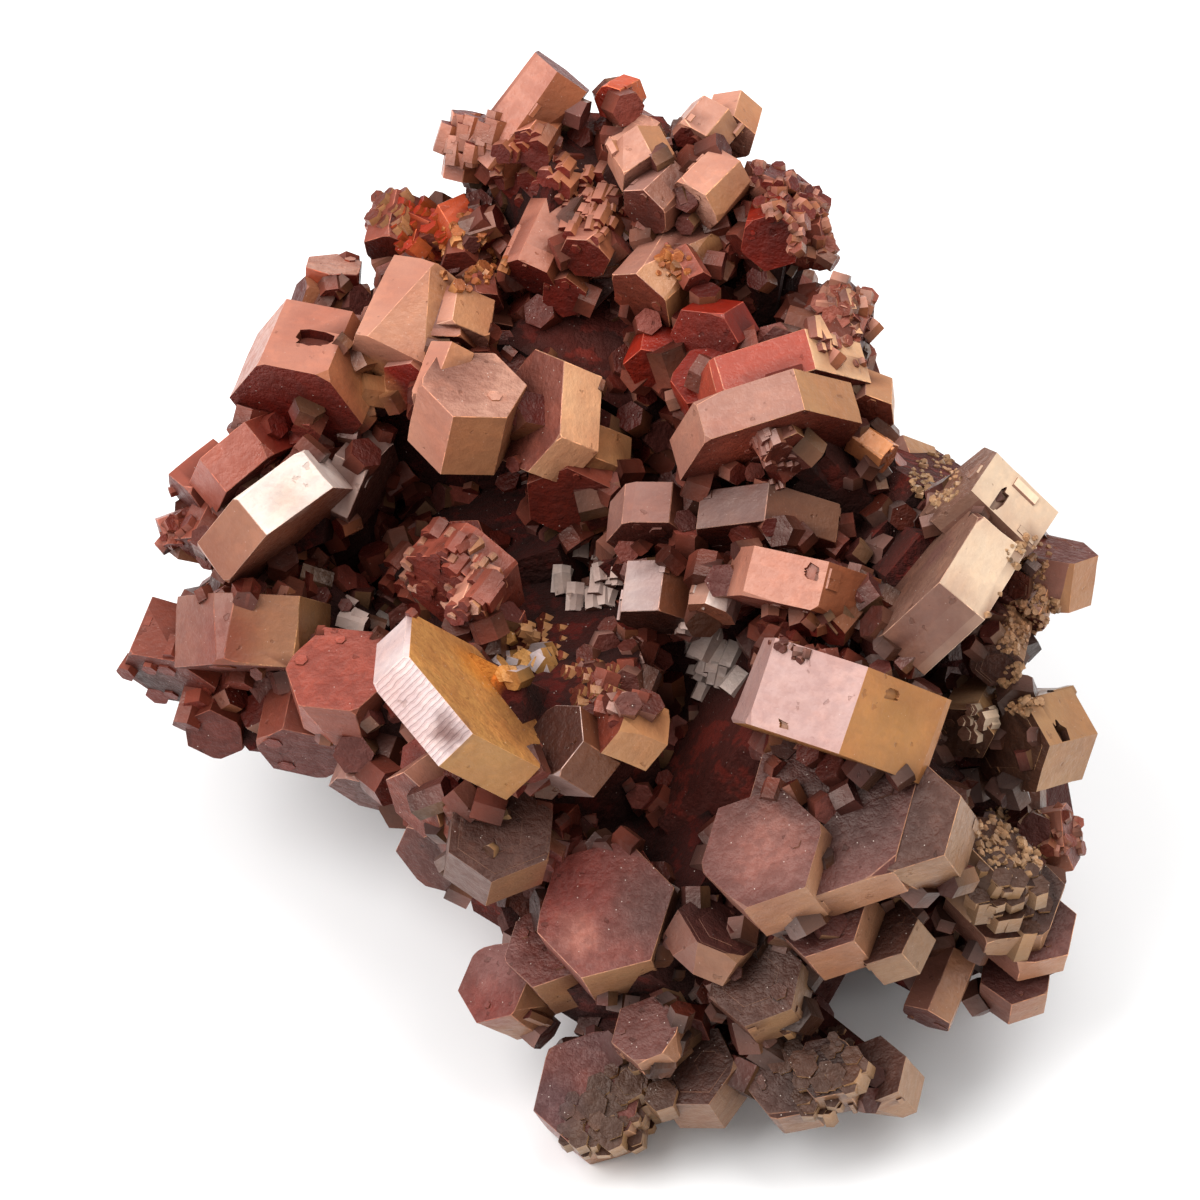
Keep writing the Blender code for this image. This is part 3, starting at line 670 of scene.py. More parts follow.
# %% Numbers of the foot, the roots and the back
# The foot is the stump that the cluster was broken off at. Its flat face is the underside.
FOOT_MIDDLE = (5.5, 1.5)
FOOT_WIDTH = 28.0
FOOT_DEPTH = 26.0
FOOT_HEIGHT = 12.0
LEDGED = ("lip", "cream", "big o", "big right", "stack one", "stack two", "j", "m", "yellow",
          "white", "p", "left block", "pink mid", "hex plate")
ROOT_SHARE = 0.6
ROOT_SUNK = 0.45
BACK_SIDE = (1.5, 3.4)
BACK_TRIES = 24
BACK_APART = 4.3
BACK_LIMIT = 20.0
BACK_HIDDEN = 1.0
BACK_LOOKS = ("pink", "red", "mauve", "tan", "plum", "red")


# %% Places on the lumps
def nearest_lump(point):
    return min(LUMPS, key=lambda lump: (Vector(lump.middle) - point).length - lump.size)


def spread_directions(count):
    for step in range(count):
        height = 1 - 2 * (step + 0.5) / count
        around = step * math.pi * (3 - math.sqrt(5))
        ring = math.sqrt(1 - height * height)
        yield Vector((ring * math.cos(around), ring * math.sin(around), height))


def behind_table(end, side):
    place = Vector((end.x, end.y))
    return any((Vector(crystal.middle[:2]) - place).length + side * 0.5 < crystal.side + BACK_HIDDEN
               for crystal in CRYSTALS)


# %% Grow the lumps and the roots
for lump in LUMPS:
    axes = axes_of(dice.uniform(0, 360), dice.uniform(20, 70))
    start = Vector(lump.middle) + axes[2] * lump.size * 0.8
    grow(LOOKS["deep"], start, lump.size * 0.95, lump.size * 1.6, axes, dice.uniform(0, 60),
         bevel=0, dice=random.Random(lump.name), cuts=3)

for crystal in CRYSTALS:
    axes = axes_of(crystal.clock, crystal.tilt)
    heart = Vector(crystal.middle) - axes[2] * crystal.length * 0.55
    lump = nearest_lump(heart)
    inward = heart - Vector(lump.middle)
    sunk = crystal.side * ROOT_SUNK
    reach = max(inward.length - lump.size * 0.35 - sunk, 2.0)
    grow(LOOKS["deep"], heart - inward.normalized() * sunk, crystal.side * ROOT_SHARE, reach,
         axes_along(inward), crystal.turn + 17,
         bevel=0, dice=random.Random(crystal.name + " root"))

# The plain solid draws once for each crystal that has ledges, and these draws keep in step with it.
for crystal in CRYSTALS:
    if crystal.name in LEDGED:
        dice.uniform(0, math.tau)

print("with lumps and roots, faces:", len(growth.faces))

# %% [markdown]
# The crystals of the back can't be measured, so they are set on the lumps, evenly spread and never
# closer than a few millimetres. They are left out inside another lump, low at the foot, and wherever
# they would show from the front, because the picture has its own crystals there.

# %% Grow the crystals of the back
placed = []
for lump in LUMPS:
    for direction in spread_directions(BACK_TRIES):
        surface = Vector(lump.middle) + direction * lump.size * 0.95
        world = (VIEW_TO_WORLD @ surface) / MM - Vector(BOX_SHIFT)
        inside = any((Vector(other.middle) - surface).length < other.size * 0.85
                     for other in LUMPS if other is not lump)
        crowded = any((surface - seen).length < BACK_APART for seen in placed)
        if inside or crowded or world.z < 2.5 or world.y > BACK_LIMIT:
            continue
        side = dice.uniform(*BACK_SIDE) * (0.6 if direction.z > 0 else 1)
        lean = Vector([dice.uniform(-0.45, 0.45) for _ in range(3)])
        axes = axes_along(direction + lean)
        end = surface + axes[2] * dice.uniform(0.4, 1.6)
        if direction.z < -0.6 or behind_table(end, side):
            placed.append(surface)
            own_dice = random.Random(f"back {len(placed)}")
            look = LOOKS[own_dice.choice(BACK_LOOKS)] if direction.z < 0.2 else LOOKS["red"]
            turn = dice.uniform(0, 60)
            grow(look, end, side, side * 2.2, axes, turn, shrink=0.8, rings=True,
                 dice=own_dice)
            kin = Crystal("back", "", end, side, side * 2.2, 0, 0, turn)
            place = crystal_frame(end, axes)
            for middle, width, depth in parallel_blocks(kin, int(2 + side ** 2), own_dice):
                grow(look, place @ middle, width, depth, axes, turn, bevel=0, dice=own_dice,
                     shade=own_dice.uniform(0.85, 1.2))
print("crystals of the back:", len(placed), "faces:", len(growth.faces))

# %% [markdown]
# The cluster was broken off its rock at a stump, and rests on that face. The stump is a low cone with
# nine sides. Its faces are cut up, because the painted shade further down is stored at the corners.

# %% The stump that the cluster was broken off at
stump = bmesh.new()
bmesh.ops.create_cone(stump, cap_ends=True, segments=9, radius1=0.5, radius2=0.56,
                      depth=FOOT_HEIGHT)
bmesh.ops.scale(stump, vec=(FOOT_WIDTH, FOOT_DEPTH, 1), verts=stump.verts)
bmesh.ops.subdivide_edges(stump, edges=stump.edges, cuts=3, use_grid_fill=True)
bmesh.ops.triangulate(stump, faces=[face for face in stump.faces if len(face.verts) > 4])
stump.normal_update()
finish_block(stump, LOOKS["deep"], Matrix.Identity(4), [], random.Random(5))
stump_place = Matrix.Translation(Vector((FOOT_MIDDLE[0] + BOX_SHIFT[0],
                                         FOOT_MIDDLE[1] + BOX_SHIFT[1], FOOT_HEIGHT / 2)))
add_to(growth, stump, Matrix.Scale(MM, 4) @ stump_place)
print("with the stump, faces:", len(growth.faces))

# %% [markdown]
# Between the big crystals the real cluster is full of small ones. Those in the gaps go where the
# surface is sheltered. Short rays from points all over the plain solid find such places: the more of
# them meet stone again, the deeper the point lies.

# %% Rays that feel for the walls of a gap
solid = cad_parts[NODE].data
solid_tree = BVHTree.FromPolygons([WORLD_TO_VIEW @ corner.co for corner in solid.vertices],
                                  [tuple(face.vertices) for face in solid.polygons])
CAMERA = Vector((0, 0, VIEW_DISTANCE))


def camera_sees(point):
    return solid_tree.ray_cast(point, (CAMERA - point).normalized())[0] is None


SHELTER_RAYS = list(spread_directions(26))
SHELTER_REACH = 4.0
OPEN_FACE = 0.3
GRAZING = 0.15


def walled(tree, rays, spot, normal, reach):
    """The share of rays, out of those that leave the surface, that meet stone again soon."""
    sent = [ray for ray in rays if ray.dot(normal) >= GRAZING]
    met = [ray for ray in sent if tree.ray_cast(spot, ray, reach)[0]]
    return len(met) / max(len(sent), 1)


def shelter(spot, normal):
    return walled(solid_tree, SHELTER_RAYS, spot + normal * 0.05, normal, SHELTER_REACH)


def hides_a_face(point):
    """Whether a crystal that ends here would stand before a face that lies open to the picture."""
    hit, normal, _, _ = solid_tree.ray_cast(point, (point - CAMERA).normalized())
    return hit is None or shelter(hit, normal) < OPEN_FACE


# %% One small crystal, and points to put it on
def sow(look, spot, normal, size, dice, lean=0.6, sunk=0.62, shade=1.0, shy=False):
    """One small crystal at a spot of the view, leaning away from the surface's normal.
    It is left out where it would run into the next crystal and, if shy, where it hides a face.
    Says whether it grew."""
    direction = normal.normalized() + Vector([dice.gauss(0, lean) for _ in range(3)])
    if direction.length < 0.1:
        direction = normal
    axes = axes_along(direction)
    tall = size * dice.uniform(1.0, 2.4)
    out = tall * (1 - sunk)
    blocked = solid_tree.ray_cast(spot + axes[2] * 0.1, axes[2], out + size)[0]
    if blocked or shy and hides_a_face(spot + axes[2] * out):
        return False
    # The root argument darkens the crystal toward its foot: painted shade.
    grow(look, spot + axes[2] * out, size, tall, axes, dice.uniform(0, 60), bevel=0, dice=dice,
         shade=shade, chips=1, root=(tall, 0.38), onto=crust)
    return True


def strewn_points(count, dice):
    """Points spread over the plain solid by area, each with its normal, in the view's mm."""
    weights = [face.area for face in solid.polygons]
    for face in dice.choices(list(solid.polygons), weights=weights, k=count):
        corners = [WORLD_TO_VIEW @ solid.vertices[index].co for index in face.vertices[:3]]
        first, second = sorted((dice.random(), dice.random()))
        spot = corners[0] * first + corners[1] * (second - first) + corners[2] * (1 - second)
        normal = (WORLD_TO_VIEW.to_3x3() @ face.normal).normalized()
        yield spot, normal


# %% [markdown]
# A filler may not hide what the picture shows. It is skipped where it would stand before a face that
# lies open, and near the few pale bits that glint out of the gaps. Fillers in sight are smaller too.

# %% Fillers in the sheltered places
FILLER_TRIES = 9000
FILLER_LIFT = 0.8
SEEN_SHELTER = 0.42
HIDDEN_SHELTER = 0.26
FILLER_FOOT = 1.5
# Pale bits in the gaps, as (right, up, reach).
PALE_BITS = [(5.4, -3.8, 1.7), (-0.6, 1.0, 1.7), (4.9, -2.0, 1.2), (-4.0, -3.0, 1.4)]


def look_near(spot, dice):
    if spot.x > 12 or spot.y < -12:
        return LOOKS[dice.choice(("mauve", "umber", "wine"))]
    return LOOKS[dice.choice(("red", "red", "salmon", "pink", "wine"))]


def near_pale_bits(spot):
    flat = spot * (VIEW_DISTANCE / (VIEW_DISTANCE - spot.z))
    return any(math.hypot(flat.x - right, flat.y - up) < reach for right, up, reach in PALE_BITS)


filler_dice = random.Random(7)
fillers = 0
for spot, normal in strewn_points(FILLER_TRIES, filler_dice):
    if (VIEW_TO_WORLD @ spot).z < FILLER_FOOT * MM:
        continue
    lifted = spot + normal * FILLER_LIFT
    seen = camera_sees(lifted)
    needed = SEEN_SHELTER if seen else HIDDEN_SHELTER
    if shelter(lifted, normal) < needed + filler_dice.random() * 0.25:
        continue
    if seen and near_pale_bits(spot):
        continue
    size = filler_dice.uniform(0.35, 0.95) if seen else filler_dice.uniform(0.4, 1.1)
    # The fillers' low shade, half to three quarters, is painted shade for the gaps they sit in.
    fillers += sow(look_near(spot, filler_dice), spot, normal, size, filler_dice, sunk=0.55,
                   shade=filler_dice.uniform(0.5, 0.75), shy=seen)
print("fillers:", fillers, "faces:", len(crust.faces))

# %% [markdown]
# The back is hidden from the picture, so it is guessed: the same stone, set with short crystals as a
# druse is. Each point first looks at the camera from beside itself too, because a crystal that stands
# close to the edge of the cluster would change its outline in the picture.

# %% A druse over the back
DRUSE_TRIES = 2200
DRUSE_FOOT = 2.5
DRUSE_LOOKS = ("red", "wine", "mauve", "salmon")
BESIDE = [Vector((2.4, 0, 0)), Vector((-2.4, 0, 0)), Vector((0, 2.4, 0)), Vector((0, -2.4, 0))]
druse_dice = random.Random(11)
druse = 0
for spot, normal in strewn_points(DRUSE_TRIES, druse_dice):
    low = (VIEW_TO_WORLD @ spot).z < DRUSE_FOOT * MM
    if low or any(camera_sees(spot + shift) for shift in [normal * 0.3, normal * 2] + BESIDE):
        continue
    druse += sow(LOOKS[druse_dice.choice(DRUSE_LOOKS)], spot, normal,
                 druse_dice.uniform(0.4, 1.5), druse_dice, lean=0.35, sunk=0.8,
                 shade=druse_dice.uniform(0.6, 0.95))
print("druse:", druse, "faces:", len(crust.faces))

# %% [markdown]
# Sugar-like crust and broken ledges lie where the picture has them. Each patch is a round spot of the
# picture, and rays from the camera find the surface in front, so a crust always lies on something.
# Where kin names a crystal, the small ones share its bearing, and the patch reads as broken ledges.

# %% Crusts on the front
DEEPEST_CRUST = -12
Crust = namedtuple("Crust", "look middle reach count size kin", defaults=(None,))
CRUSTS = {
    "ochre crumbs": Crust("ochre", (-6.4, 17.4), 1.9, 110, (0.14, 0.4)),
    "orange chips": Crust("ember", (-9.0, 18.8), 1.6, 30, (0.25, 0.6), "left top"),
    "left top": Crust("tan", (-10.8, 19.8), 1.5, 24, (0.3, 0.6), "left top"),
    "top crust": Crust("pink", (9.8, 21.2), 2.4, 110, (0.22, 0.6)),
    "top corner": Crust("rose", (11.4, 18.2), 2.0, 70, (0.22, 0.55)),
    "right lump": Crust("rose", (13.0, 14.0), 2.4, 100, (0.22, 0.6)),
    "jagged ledge": Crust("cream", (11.6, 13.6), 1.3, 16, (0.25, 0.5), "back q"),
    "rough column": Crust("pink", (-0.6, 19.6), 1.7, 60, (0.2, 0.5), "row b"),
    "ochre on the row": Crust("ochre", (3.6, 16.8), 0.9, 24, (0.14, 0.35)),
    "plates under the block": Crust("mauve", (8.6, 6.8), 1.5, 34, (0.12, 0.4), "big o"),
    "right of the block": Crust("sand", (16.8, 6.0), 1.3, 110, (0.08, 0.22)),
    "granular right": Crust("sand", (21.2, -1.0), 1.9, 300, (0.07, 0.22)),
    "granular low right": Crust("sand", (21.0, -4.4), 1.3, 130, (0.07, 0.22)),
    "granular edge": Crust("sand", (21.4, 2.0), 1.2, 60, (0.07, 0.2)),
    "white cubes": Crust("silver", (-0.6, 1.0), 1.6, 22, (0.3, 0.6), "grey mid"),
    "white cubes left": Crust("silver", (-11.4, -0.6), 1.0, 8, (0.3, 0.55), "grey"),
    "white cubes right": Crust("silver", (4.9, -2.0), 1.0, 18, (0.2, 0.45), "pink mid"),
    "red ledge": Crust("red", (-7.9, 1.2), 2.6, 40, (0.25, 0.75), "mid ledge"),
    "red ledge bright": Crust("blush", (-7.6, 1.6), 2.4, 20, (0.2, 0.5), "mid ledge"),
    "ledge of the ridge": Crust("tan", (-3.0, -2.2), 1.3, 34, (0.2, 0.5), "ledge x"),
    "ledge of the ridge low": Crust("tan", (-0.6, -4.2), 1.4, 34, (0.2, 0.5), "ledge x"),
    "under the pink block": Crust("mauve", (9.6, -1.9), 1.2, 46, (0.1, 0.28)),
    "crumbs on the plate": Crust("straw", (-4.8, -12.0), 1.6, 16, (0.25, 0.6)),
    "bottom ledges": Crust("straw", (1.6, -25.2), 2.0, 40, (0.3, 0.85), "m"),
    "rubble right": Crust("sand", (20.7, -12.0), 1.9, 200, (0.08, 0.26)),
    "right slope": Crust("rose", (13.4, 16.8), 2.4, 120, (0.25, 0.6)),
    "beside the yellow": Crust("gold", (-4.0, -3.0), 1.3, 18, (0.35, 0.8)),
    "white plates": Crust("silver", (5.4, -3.8), 1.4, 16, (0.4, 0.9), "big tan"),
    "middle stubs": Crust("mauve", (1.4, -3.4), 2.2, 22, (0.35, 0.85)),
    "middle stubs red": Crust("red", (0.2, -4.4), 2.0, 10, (0.35, 0.8)),
    "bar of the dark one": Crust("mottled", (18.8, -6.0), 0.9, 14, (0.25, 0.45), "frame"),
    "bottom left ledges": Crust("straw", (-0.6, -26.2), 1.5, 26, (0.3, 0.7), "m"),
    "bottom right ledges": Crust("straw", (10.6, -23.4), 2.4, 46, (0.25, 0.7), "o"),
    "terrace ledges": Crust("straw", (20.6, -14.6), 2.0, 30, (0.3, 0.7), "terrace"),
    "far right crumbs": Crust("rose", (23.4, -11.6), 1.4, 34, (0.2, 0.5)),
    "left arm": Crust("red", (-21.8, 4.0), 1.6, 46, (0.2, 0.5)),
    "left edge": Crust("red", (-21.8, -4.6), 2.2, 16, (0.4, 0.9), "far left"),
    "spire": Crust("pink", (-6.7, 23.6), 1.5, 22, (0.35, 0.7), "spire"),
    "beside the peak": Crust("pink", (-3.4, 21.6), 1.8, 30, (0.3, 0.8), "peak small"),
}
front_tree = BVHTree.FromBMesh(growth)
EYE = VIEW_TO_WORLD @ Vector((0, 0, VIEW_DISTANCE))


def seen_spot(right, up):
    """The point of the surface that the camera sees at a place of the picture, and its normal."""
    toward = VIEW_TO_WORLD @ Vector((right, up, 0)) - EYE
    hit, normal, _, _ = front_tree.ray_cast(EYE, toward.normalized(), 0.4)
    if hit is None:
        return None, None
    return WORLD_TO_VIEW @ hit, (WORLD_TO_VIEW.to_3x3() @ normal).normalized()


def seen_place(right, up):
    """The same point in the frame's own metres, or None."""
    spot, _ = seen_spot(right, up)
    return VIEW_TO_WORLD @ spot if spot else None


for name, patch in CRUSTS.items():
    crust_dice = random.Random(name)
    kin = next((crystal for crystal in CRYSTALS if crystal.name == patch.kin), None)
    for _ in range(patch.count):
        around = crust_dice.uniform(0, math.tau)
        out = patch.reach * math.sqrt(crust_dice.random())
        spot, normal = seen_spot(patch.middle[0] + out * math.cos(around),
                                 patch.middle[1] + out * math.sin(around))
        if spot is None or spot.z < DEEPEST_CRUST:
            continue
        size = patch.size[0] + (patch.size[1] - patch.size[0]) * crust_dice.random() ** 2
        shade = crust_dice.uniform(0.8, 1.15)
        if kin:
            axes = axes_of(kin.clock + crust_dice.gauss(0, 8), kin.tilt + crust_dice.gauss(0, 8))
            tall = size * crust_dice.uniform(1.5, 3)
            # The root argument darkens each ledge toward its foot: painted shade.
            grow(LOOKS[patch.look], spot + axes[2] * size * crust_dice.uniform(0.1, 0.7), size, tall,
                 axes, kin.turn, bevel=0, dice=crust_dice, shade=shade, chips=1, root=(tall, 0.6),
                 onto=crust)
        else:
            sow(LOOKS[patch.look], spot, normal, size, crust_dice, shade=shade)
print("crusts:", len(CRUSTS), "faces:", len(crust.faces))

# %% [markdown]
# Deep between the crystals little light gets out again, and that shade is painted into the mesh as
# colour. Long faces are first cut into shorter ones, so that the painted shade can follow the gaps, and
# then each corner of a face looks around with short rays.

# %% Paint shade into the gaps
LONGEST_EDGE = 2.2 * MM
GAP_REACH = 4.5 * MM
GAP_RAYS = list(spread_directions(20))
GAP_SHADE_COLOUR = (0.16, 0.055, 0.04)
# The share of rays that meet stone where the painted shade begins, how fast it grows, and its most.
GAP_START = 0.3
GAP_SPAN = 0.62
GAP_DARKEST = 0.85

long_edges = [edge for edge in growth.edges if edge.calc_length() > LONGEST_EDGE]
bmesh.ops.subdivide_edges(growth, edges=long_edges, cuts=1, use_grid_fill=True)
everything = bpy.data.meshes.new("everything")
both = growth.copy()
crust.to_mesh(everything)
both.from_mesh(everything)
bpy.data.meshes.remove(everything)
both_tree = BVHTree.FromBMesh(both)
both.free()

tint_layer = growth.loops.layers.float_color["tint"]
# Painted shade: each corner is darkened toward a dark red by the share of rays that meet stone.
for face in growth.faces:
    normal = face.normal
    heart = face.calc_center_median()
    for loop in face.loops:
        spot = loop.vert.co.lerp(heart, 0.12) + normal * 0.03 * MM
        buried = walled(both_tree, GAP_RAYS, spot, normal, GAP_REACH)
        share = max(0, min(GAP_DARKEST, (buried - GAP_START) / GAP_SPAN)) ** 1.4
        loop[tint_layer] = (*[part * (1 - share + share * dark)
                              for part, dark in zip(loop[tint_layer], GAP_SHADE_COLOUR)], 1)
print("corners shaded:", sum(len(face.loops) for face in growth.faces))

# %% [markdown]
# The faces need four finishes laid over each other: soft clouds of colour inside the stone, a fine
# grain on the ends, small etched pits, and pale specks that are partly dusty grit and partly painted
# glints. Each is a node group that gives out a mask and a height, so the same growth texture serves
# the ends, the sides and the chipped edges.

# %% Helpers for node groups
def feed(tree, socket, value):
    """Links an output to a socket, or sets the socket to a plain value."""
    if isinstance(value, bpy.types.NodeSocket):
        tree.links.new(value, socket)
    else:
        socket.default_value = value


def add_node(tree, kind, settings=None, **inputs):
    """A node with its own settings, and a value or a link for each named input."""
    node = tree.nodes.new("ShaderNode" + kind)
    for name, value in (settings or {}).items():
        setattr(node, name, value)
    for name, value in inputs.items():
        feed(tree, node.inputs[name.replace("_", " ")], value)
    return node


def new_group(name, inputs, outputs):
    """An empty group, with the sockets that its nodes read and those that they feed.
    An input without a number is a place, and everything else is a number."""
    tree = bpy.data.node_groups.new(name, "ShaderNodeTree")
    for title, value in inputs.items():
        kind = "NodeSocketVector" if value is None else "NodeSocketFloat"
        socket = tree.interface.new_socket(title, in_out="INPUT", socket_type=kind)
        if value is not None:
            socket.default_value = value
    for title in outputs:
        tree.interface.new_socket(title, in_out="OUTPUT", socket_type="NodeSocketFloat")
    return tree, tree.nodes.new("NodeGroupInput").outputs, tree.nodes.new("NodeGroupOutput").inputs


def math_node(tree, operation, *values, clamp=False):
    node = add_node(tree, "Math", {"operation": operation, "use_clamp": clamp})
    for socket, value in zip(node.inputs, values):
        feed(tree, socket, value)
    return node.outputs[0]


def ramp(tree, value, low, high):
    """0 below low, 1 above high, and smooth in between."""
    return add_node(tree, "MapRange", {"interpolation_type": "SMOOTHSTEP"}, Value=value,
                    From_Min=low, From_Max=high).outputs["Result"]


def stirred(tree, noise, reach, place):
    """A place moved about by a noise, so that what lies there gets a wavy edge."""
    node = add_node(tree, "VectorMath", {"operation": "MULTIPLY_ADD"})
    for socket, value in zip(node.inputs, (noise.outputs["Color"], (reach, reach, reach), place)):
        feed(tree, socket, value)
    return node.outputs["Vector"]


def mix_colour(tree, share, first, second, blend="MIX"):
    node = add_node(tree, "Mix", {"data_type": "RGBA", "blend_type": blend})
    for name, value in (("Factor", share), ("A", first), ("B", second)):
        socket = next(each for each in node.inputs if each.name == name and each.enabled
                      and (each.type == "RGBA" or name == "Factor"))
        feed(tree, socket, (*value, 1) if isinstance(value, tuple) else value)
    return next(each for each in node.outputs if each.type == "RGBA")


# %% Clouds of colour inside the stone
clouds, begin, end = new_group("Growth clouds", {"Place": None, "Scale": 300.0}, ("Soft", "Patchy"))
soft = add_node(clouds, "TexNoise", Vector=begin["Place"], Scale=begin["Scale"], Detail=2)
patchy = add_node(clouds, "TexNoise", Vector=begin["Place"], Detail=3, Roughness=0.62,
                  Scale=math_node(clouds, "MULTIPLY", begin["Scale"], 2.7))
feed(clouds, end["Soft"], ramp(clouds, soft.outputs["Fac"], 0.3, 0.7))
feed(clouds, end["Patchy"], ramp(clouds, patchy.outputs["Fac"], 0.52, 0.6))

# %% [markdown]
# A pit is where acid water found a weak spot. Cells of a Voronoi pattern give each pit its own place
# and size, and only a share of the cells gets one. The place is stirred first, because round pits
# would look drilled.

# %% Etched pits and their depth
pits, begin, end = new_group("Etched pits", {"Place": None, "Scale": 2500.0, "Share": 0.25},
                             ("Mask", "Height"))
crumple = add_node(pits, "TexNoise", Vector=begin["Place"], Detail=1,
                   Scale=math_node(pits, "MULTIPLY", begin["Scale"], 1.6))
enlarged = add_node(pits, "VectorMath", {"operation": "SCALE"}, Vector=begin["Place"],
                    Scale=begin["Scale"])
cells = add_node(pits, "TexVoronoi", Scale=1,
                 Vector=stirred(pits, crumple, 1.1, enlarged.outputs["Vector"]))
chosen = add_node(pits, "SeparateColor", Color=cells.outputs["Color"]).outputs
has_pit = math_node(pits, "LESS_THAN", chosen["Red"], begin["Share"])
size = math_node(pits, "MULTIPLY_ADD", chosen["Green"], 0.25, 0.12)
inside = math_node(pits, "SUBTRACT", 1.0, math_node(pits, "DIVIDE", cells.outputs["Distance"], size),
                   clamp=True)
mask = math_node(pits, "MULTIPLY", has_pit, ramp(pits, inside, 0.0, 0.35))
feed(pits, end["Mask"], mask)
feed(pits, end["Height"], math_node(pits, "SUBTRACT", 1.0, mask))

# %% Fine grain, and pale specks in it: dusty grit caught there, and painted glints
grain, begin, end = new_group("Fine grain", {"Place": None, "Scale": 5200.0}, ("Height", "Dust"))
fine = add_node(grain, "TexNoise", Vector=begin["Place"], Scale=begin["Scale"], Detail=3,
                Roughness=0.7)
feed(grain, end["Height"], fine.outputs["Fac"])
specks = add_node(grain, "TexVoronoi", Vector=begin["Place"],
                  Scale=math_node(grain, "MULTIPLY", begin["Scale"], 0.9))
picked = add_node(grain, "SeparateColor", Color=specks.outputs["Color"])
few = math_node(grain, "GREATER_THAN", picked.outputs["Blue"], 0.9)
near = math_node(grain, "LESS_THAN", specks.outputs["Distance"], 0.13)
feed(grain, end["Dust"], math_node(grain, "MULTIPLY", few, near))

# %% [markdown]
# Streaks run along the sides, the way the crystal grew, and one face has fine ribs. Both follow the
# crystal, whichever way it points, so they read the map that was laid along each block and not the
# place in the room.

# %% Streaks along the sides, and the etched ribs of one face
streaks, begin, end = new_group("Growth streaks", {"Flat": None, "Scale": 1.0}, ("Streak", "Rib"))
stretched = add_node(streaks, "Mapping", Vector=begin["Flat"], Scale=(0.9, 2.2, 1))
streak = add_node(streaks, "TexNoise", Vector=stretched.outputs["Vector"], Scale=begin["Scale"],
                  Detail=2)
feed(streaks, end["Streak"], ramp(streaks, streak.outputs["Fac"], 0.4, 0.65))
rib = add_node(streaks, "TexWave", {"bands_direction": "X"}, Vector=begin["Flat"], Scale=1.1,
               Distortion=2.5, Detail=2, Detail_Scale=1.6)
feed(streaks, end["Rib"], ramp(streaks, rib.outputs["Fac"], 0.15, 0.5))

# %% [markdown]
# Some faces change colour from one place to the next: a yellow heart, a dark half, a pale smear. Such
# a stain is a soft ball of colour in the stone. It is cut by every face that passes through it, so it
# runs over an edge as a real one does.

# %% A stain: a soft round place of another colour
stain, begin, end = new_group("Stain", {"Place": None, "Middle": None, "Reach": 0.002, "Share": 0.5},
                              ("Mask",))
apart = add_node(stain, "VectorMath", {"operation": "DISTANCE"}, Vector=begin["Place"])
feed(stain, apart.inputs[1], begin["Middle"])
part = math_node(stain, "DIVIDE", apart.outputs["Value"], begin["Reach"])
inside = math_node(stain, "SUBTRACT", 1.0, ramp(stain, part, 0.2, 1.0))
feed(stain, end["Mask"], math_node(stain, "MULTIPLY", inside, begin["Share"]))
print("node groups:", [group.name for group in bpy.data.node_groups])

# %% Where the stains lie
# Each is given by its place in the picture; a ray from the camera finds the surface there.
Stain = namedtuple("Stain", "right up reach colour share")
STAIN_WAVE = 1.1 * MM
STAINS = [
    Stain(-6.2, -3.4, 2.0, (226, 148, 62), 0.7),
    # This wide stain darkens and reddens the low left with LEFT_SHADE: painted shade.
    Stain(-20.0, -3.0, 6.5, (112, 52, 38), 0.4),
    Stain(-7.6, -6.6, 1.3, (98, 64, 60), 0.85),
    Stain(-17.6, 15.6, 1.9, (214, 202, 190), 0.6),
    Stain(-11.4, 10.6, 2.4, (198, 140, 94), 0.6),
    Stain(-15.6, 8.2, 3.0, (104, 26, 20), 0.6),
    Stain(-1.4, -14.2, 3.4, (134, 62, 56), 0.6),
    Stain(-1.0, -16.6, 1.6, (172, 112, 98), 0.5),
    Stain(2.6, -15.4, 2.8, (62, 44, 42), 0.65),
    Stain(8.2, -12.4, 3.0, (146, 96, 86), 0.55),
    Stain(13.4, -10.2, 4.2, (60, 42, 40), 0.65),
    Stain(17.2, -9.0, 1.8, (54, 40, 38), 0.6),
    Stain(-5.6, -20.4, 2.4, (122, 58, 52), 0.6),
    Stain(-5.2, -18.0, 2.2, (142, 102, 98), 0.5),
    Stain(-2.4, -25.0, 2.4, (66, 48, 54), 0.6),
    Stain(-0.6, -21.8, 2.6, (96, 66, 66), 0.5),
    Stain(16.9, 2.4, 1.6, (104, 72, 66), 0.75),
    Stain(16.6, -1.2, 3.0, (108, 76, 68), 0.5),
    Stain(6.8, 7.6, 2.6, (152, 74, 56), 0.5),
    Stain(12.0, 7.8, 2.4, (74, 36, 30), 0.5),
    Stain(15.0, -5.6, 2.2, (146, 102, 56), 0.5),
    Stain(-15.6, 5.0, 1.5, (182, 166, 152), 0.5),
    Stain(-13.4, 6.2, 1.2, (250, 244, 236), 0.5),
    Stain(-19.0, -2.2, 2.6, (112, 44, 34), 0.5),
    Stain(8.4, 3.0, 2.4, (120, 70, 60), 0.4),
]
stains_found = [(spot, stained) for spot, stained in
                ((seen_place(stained.right, stained.up), stained) for stained in STAINS) if spot]
print("stains:", len(stains_found), "of", len(STAINS))

# %% [markdown]
# One material carries the whole growth. Which finish a face gets is painted on the mesh: tint is its
# colour, and kind says whether it is an end, a chipped rim, stone of the deep or the ribbed face.

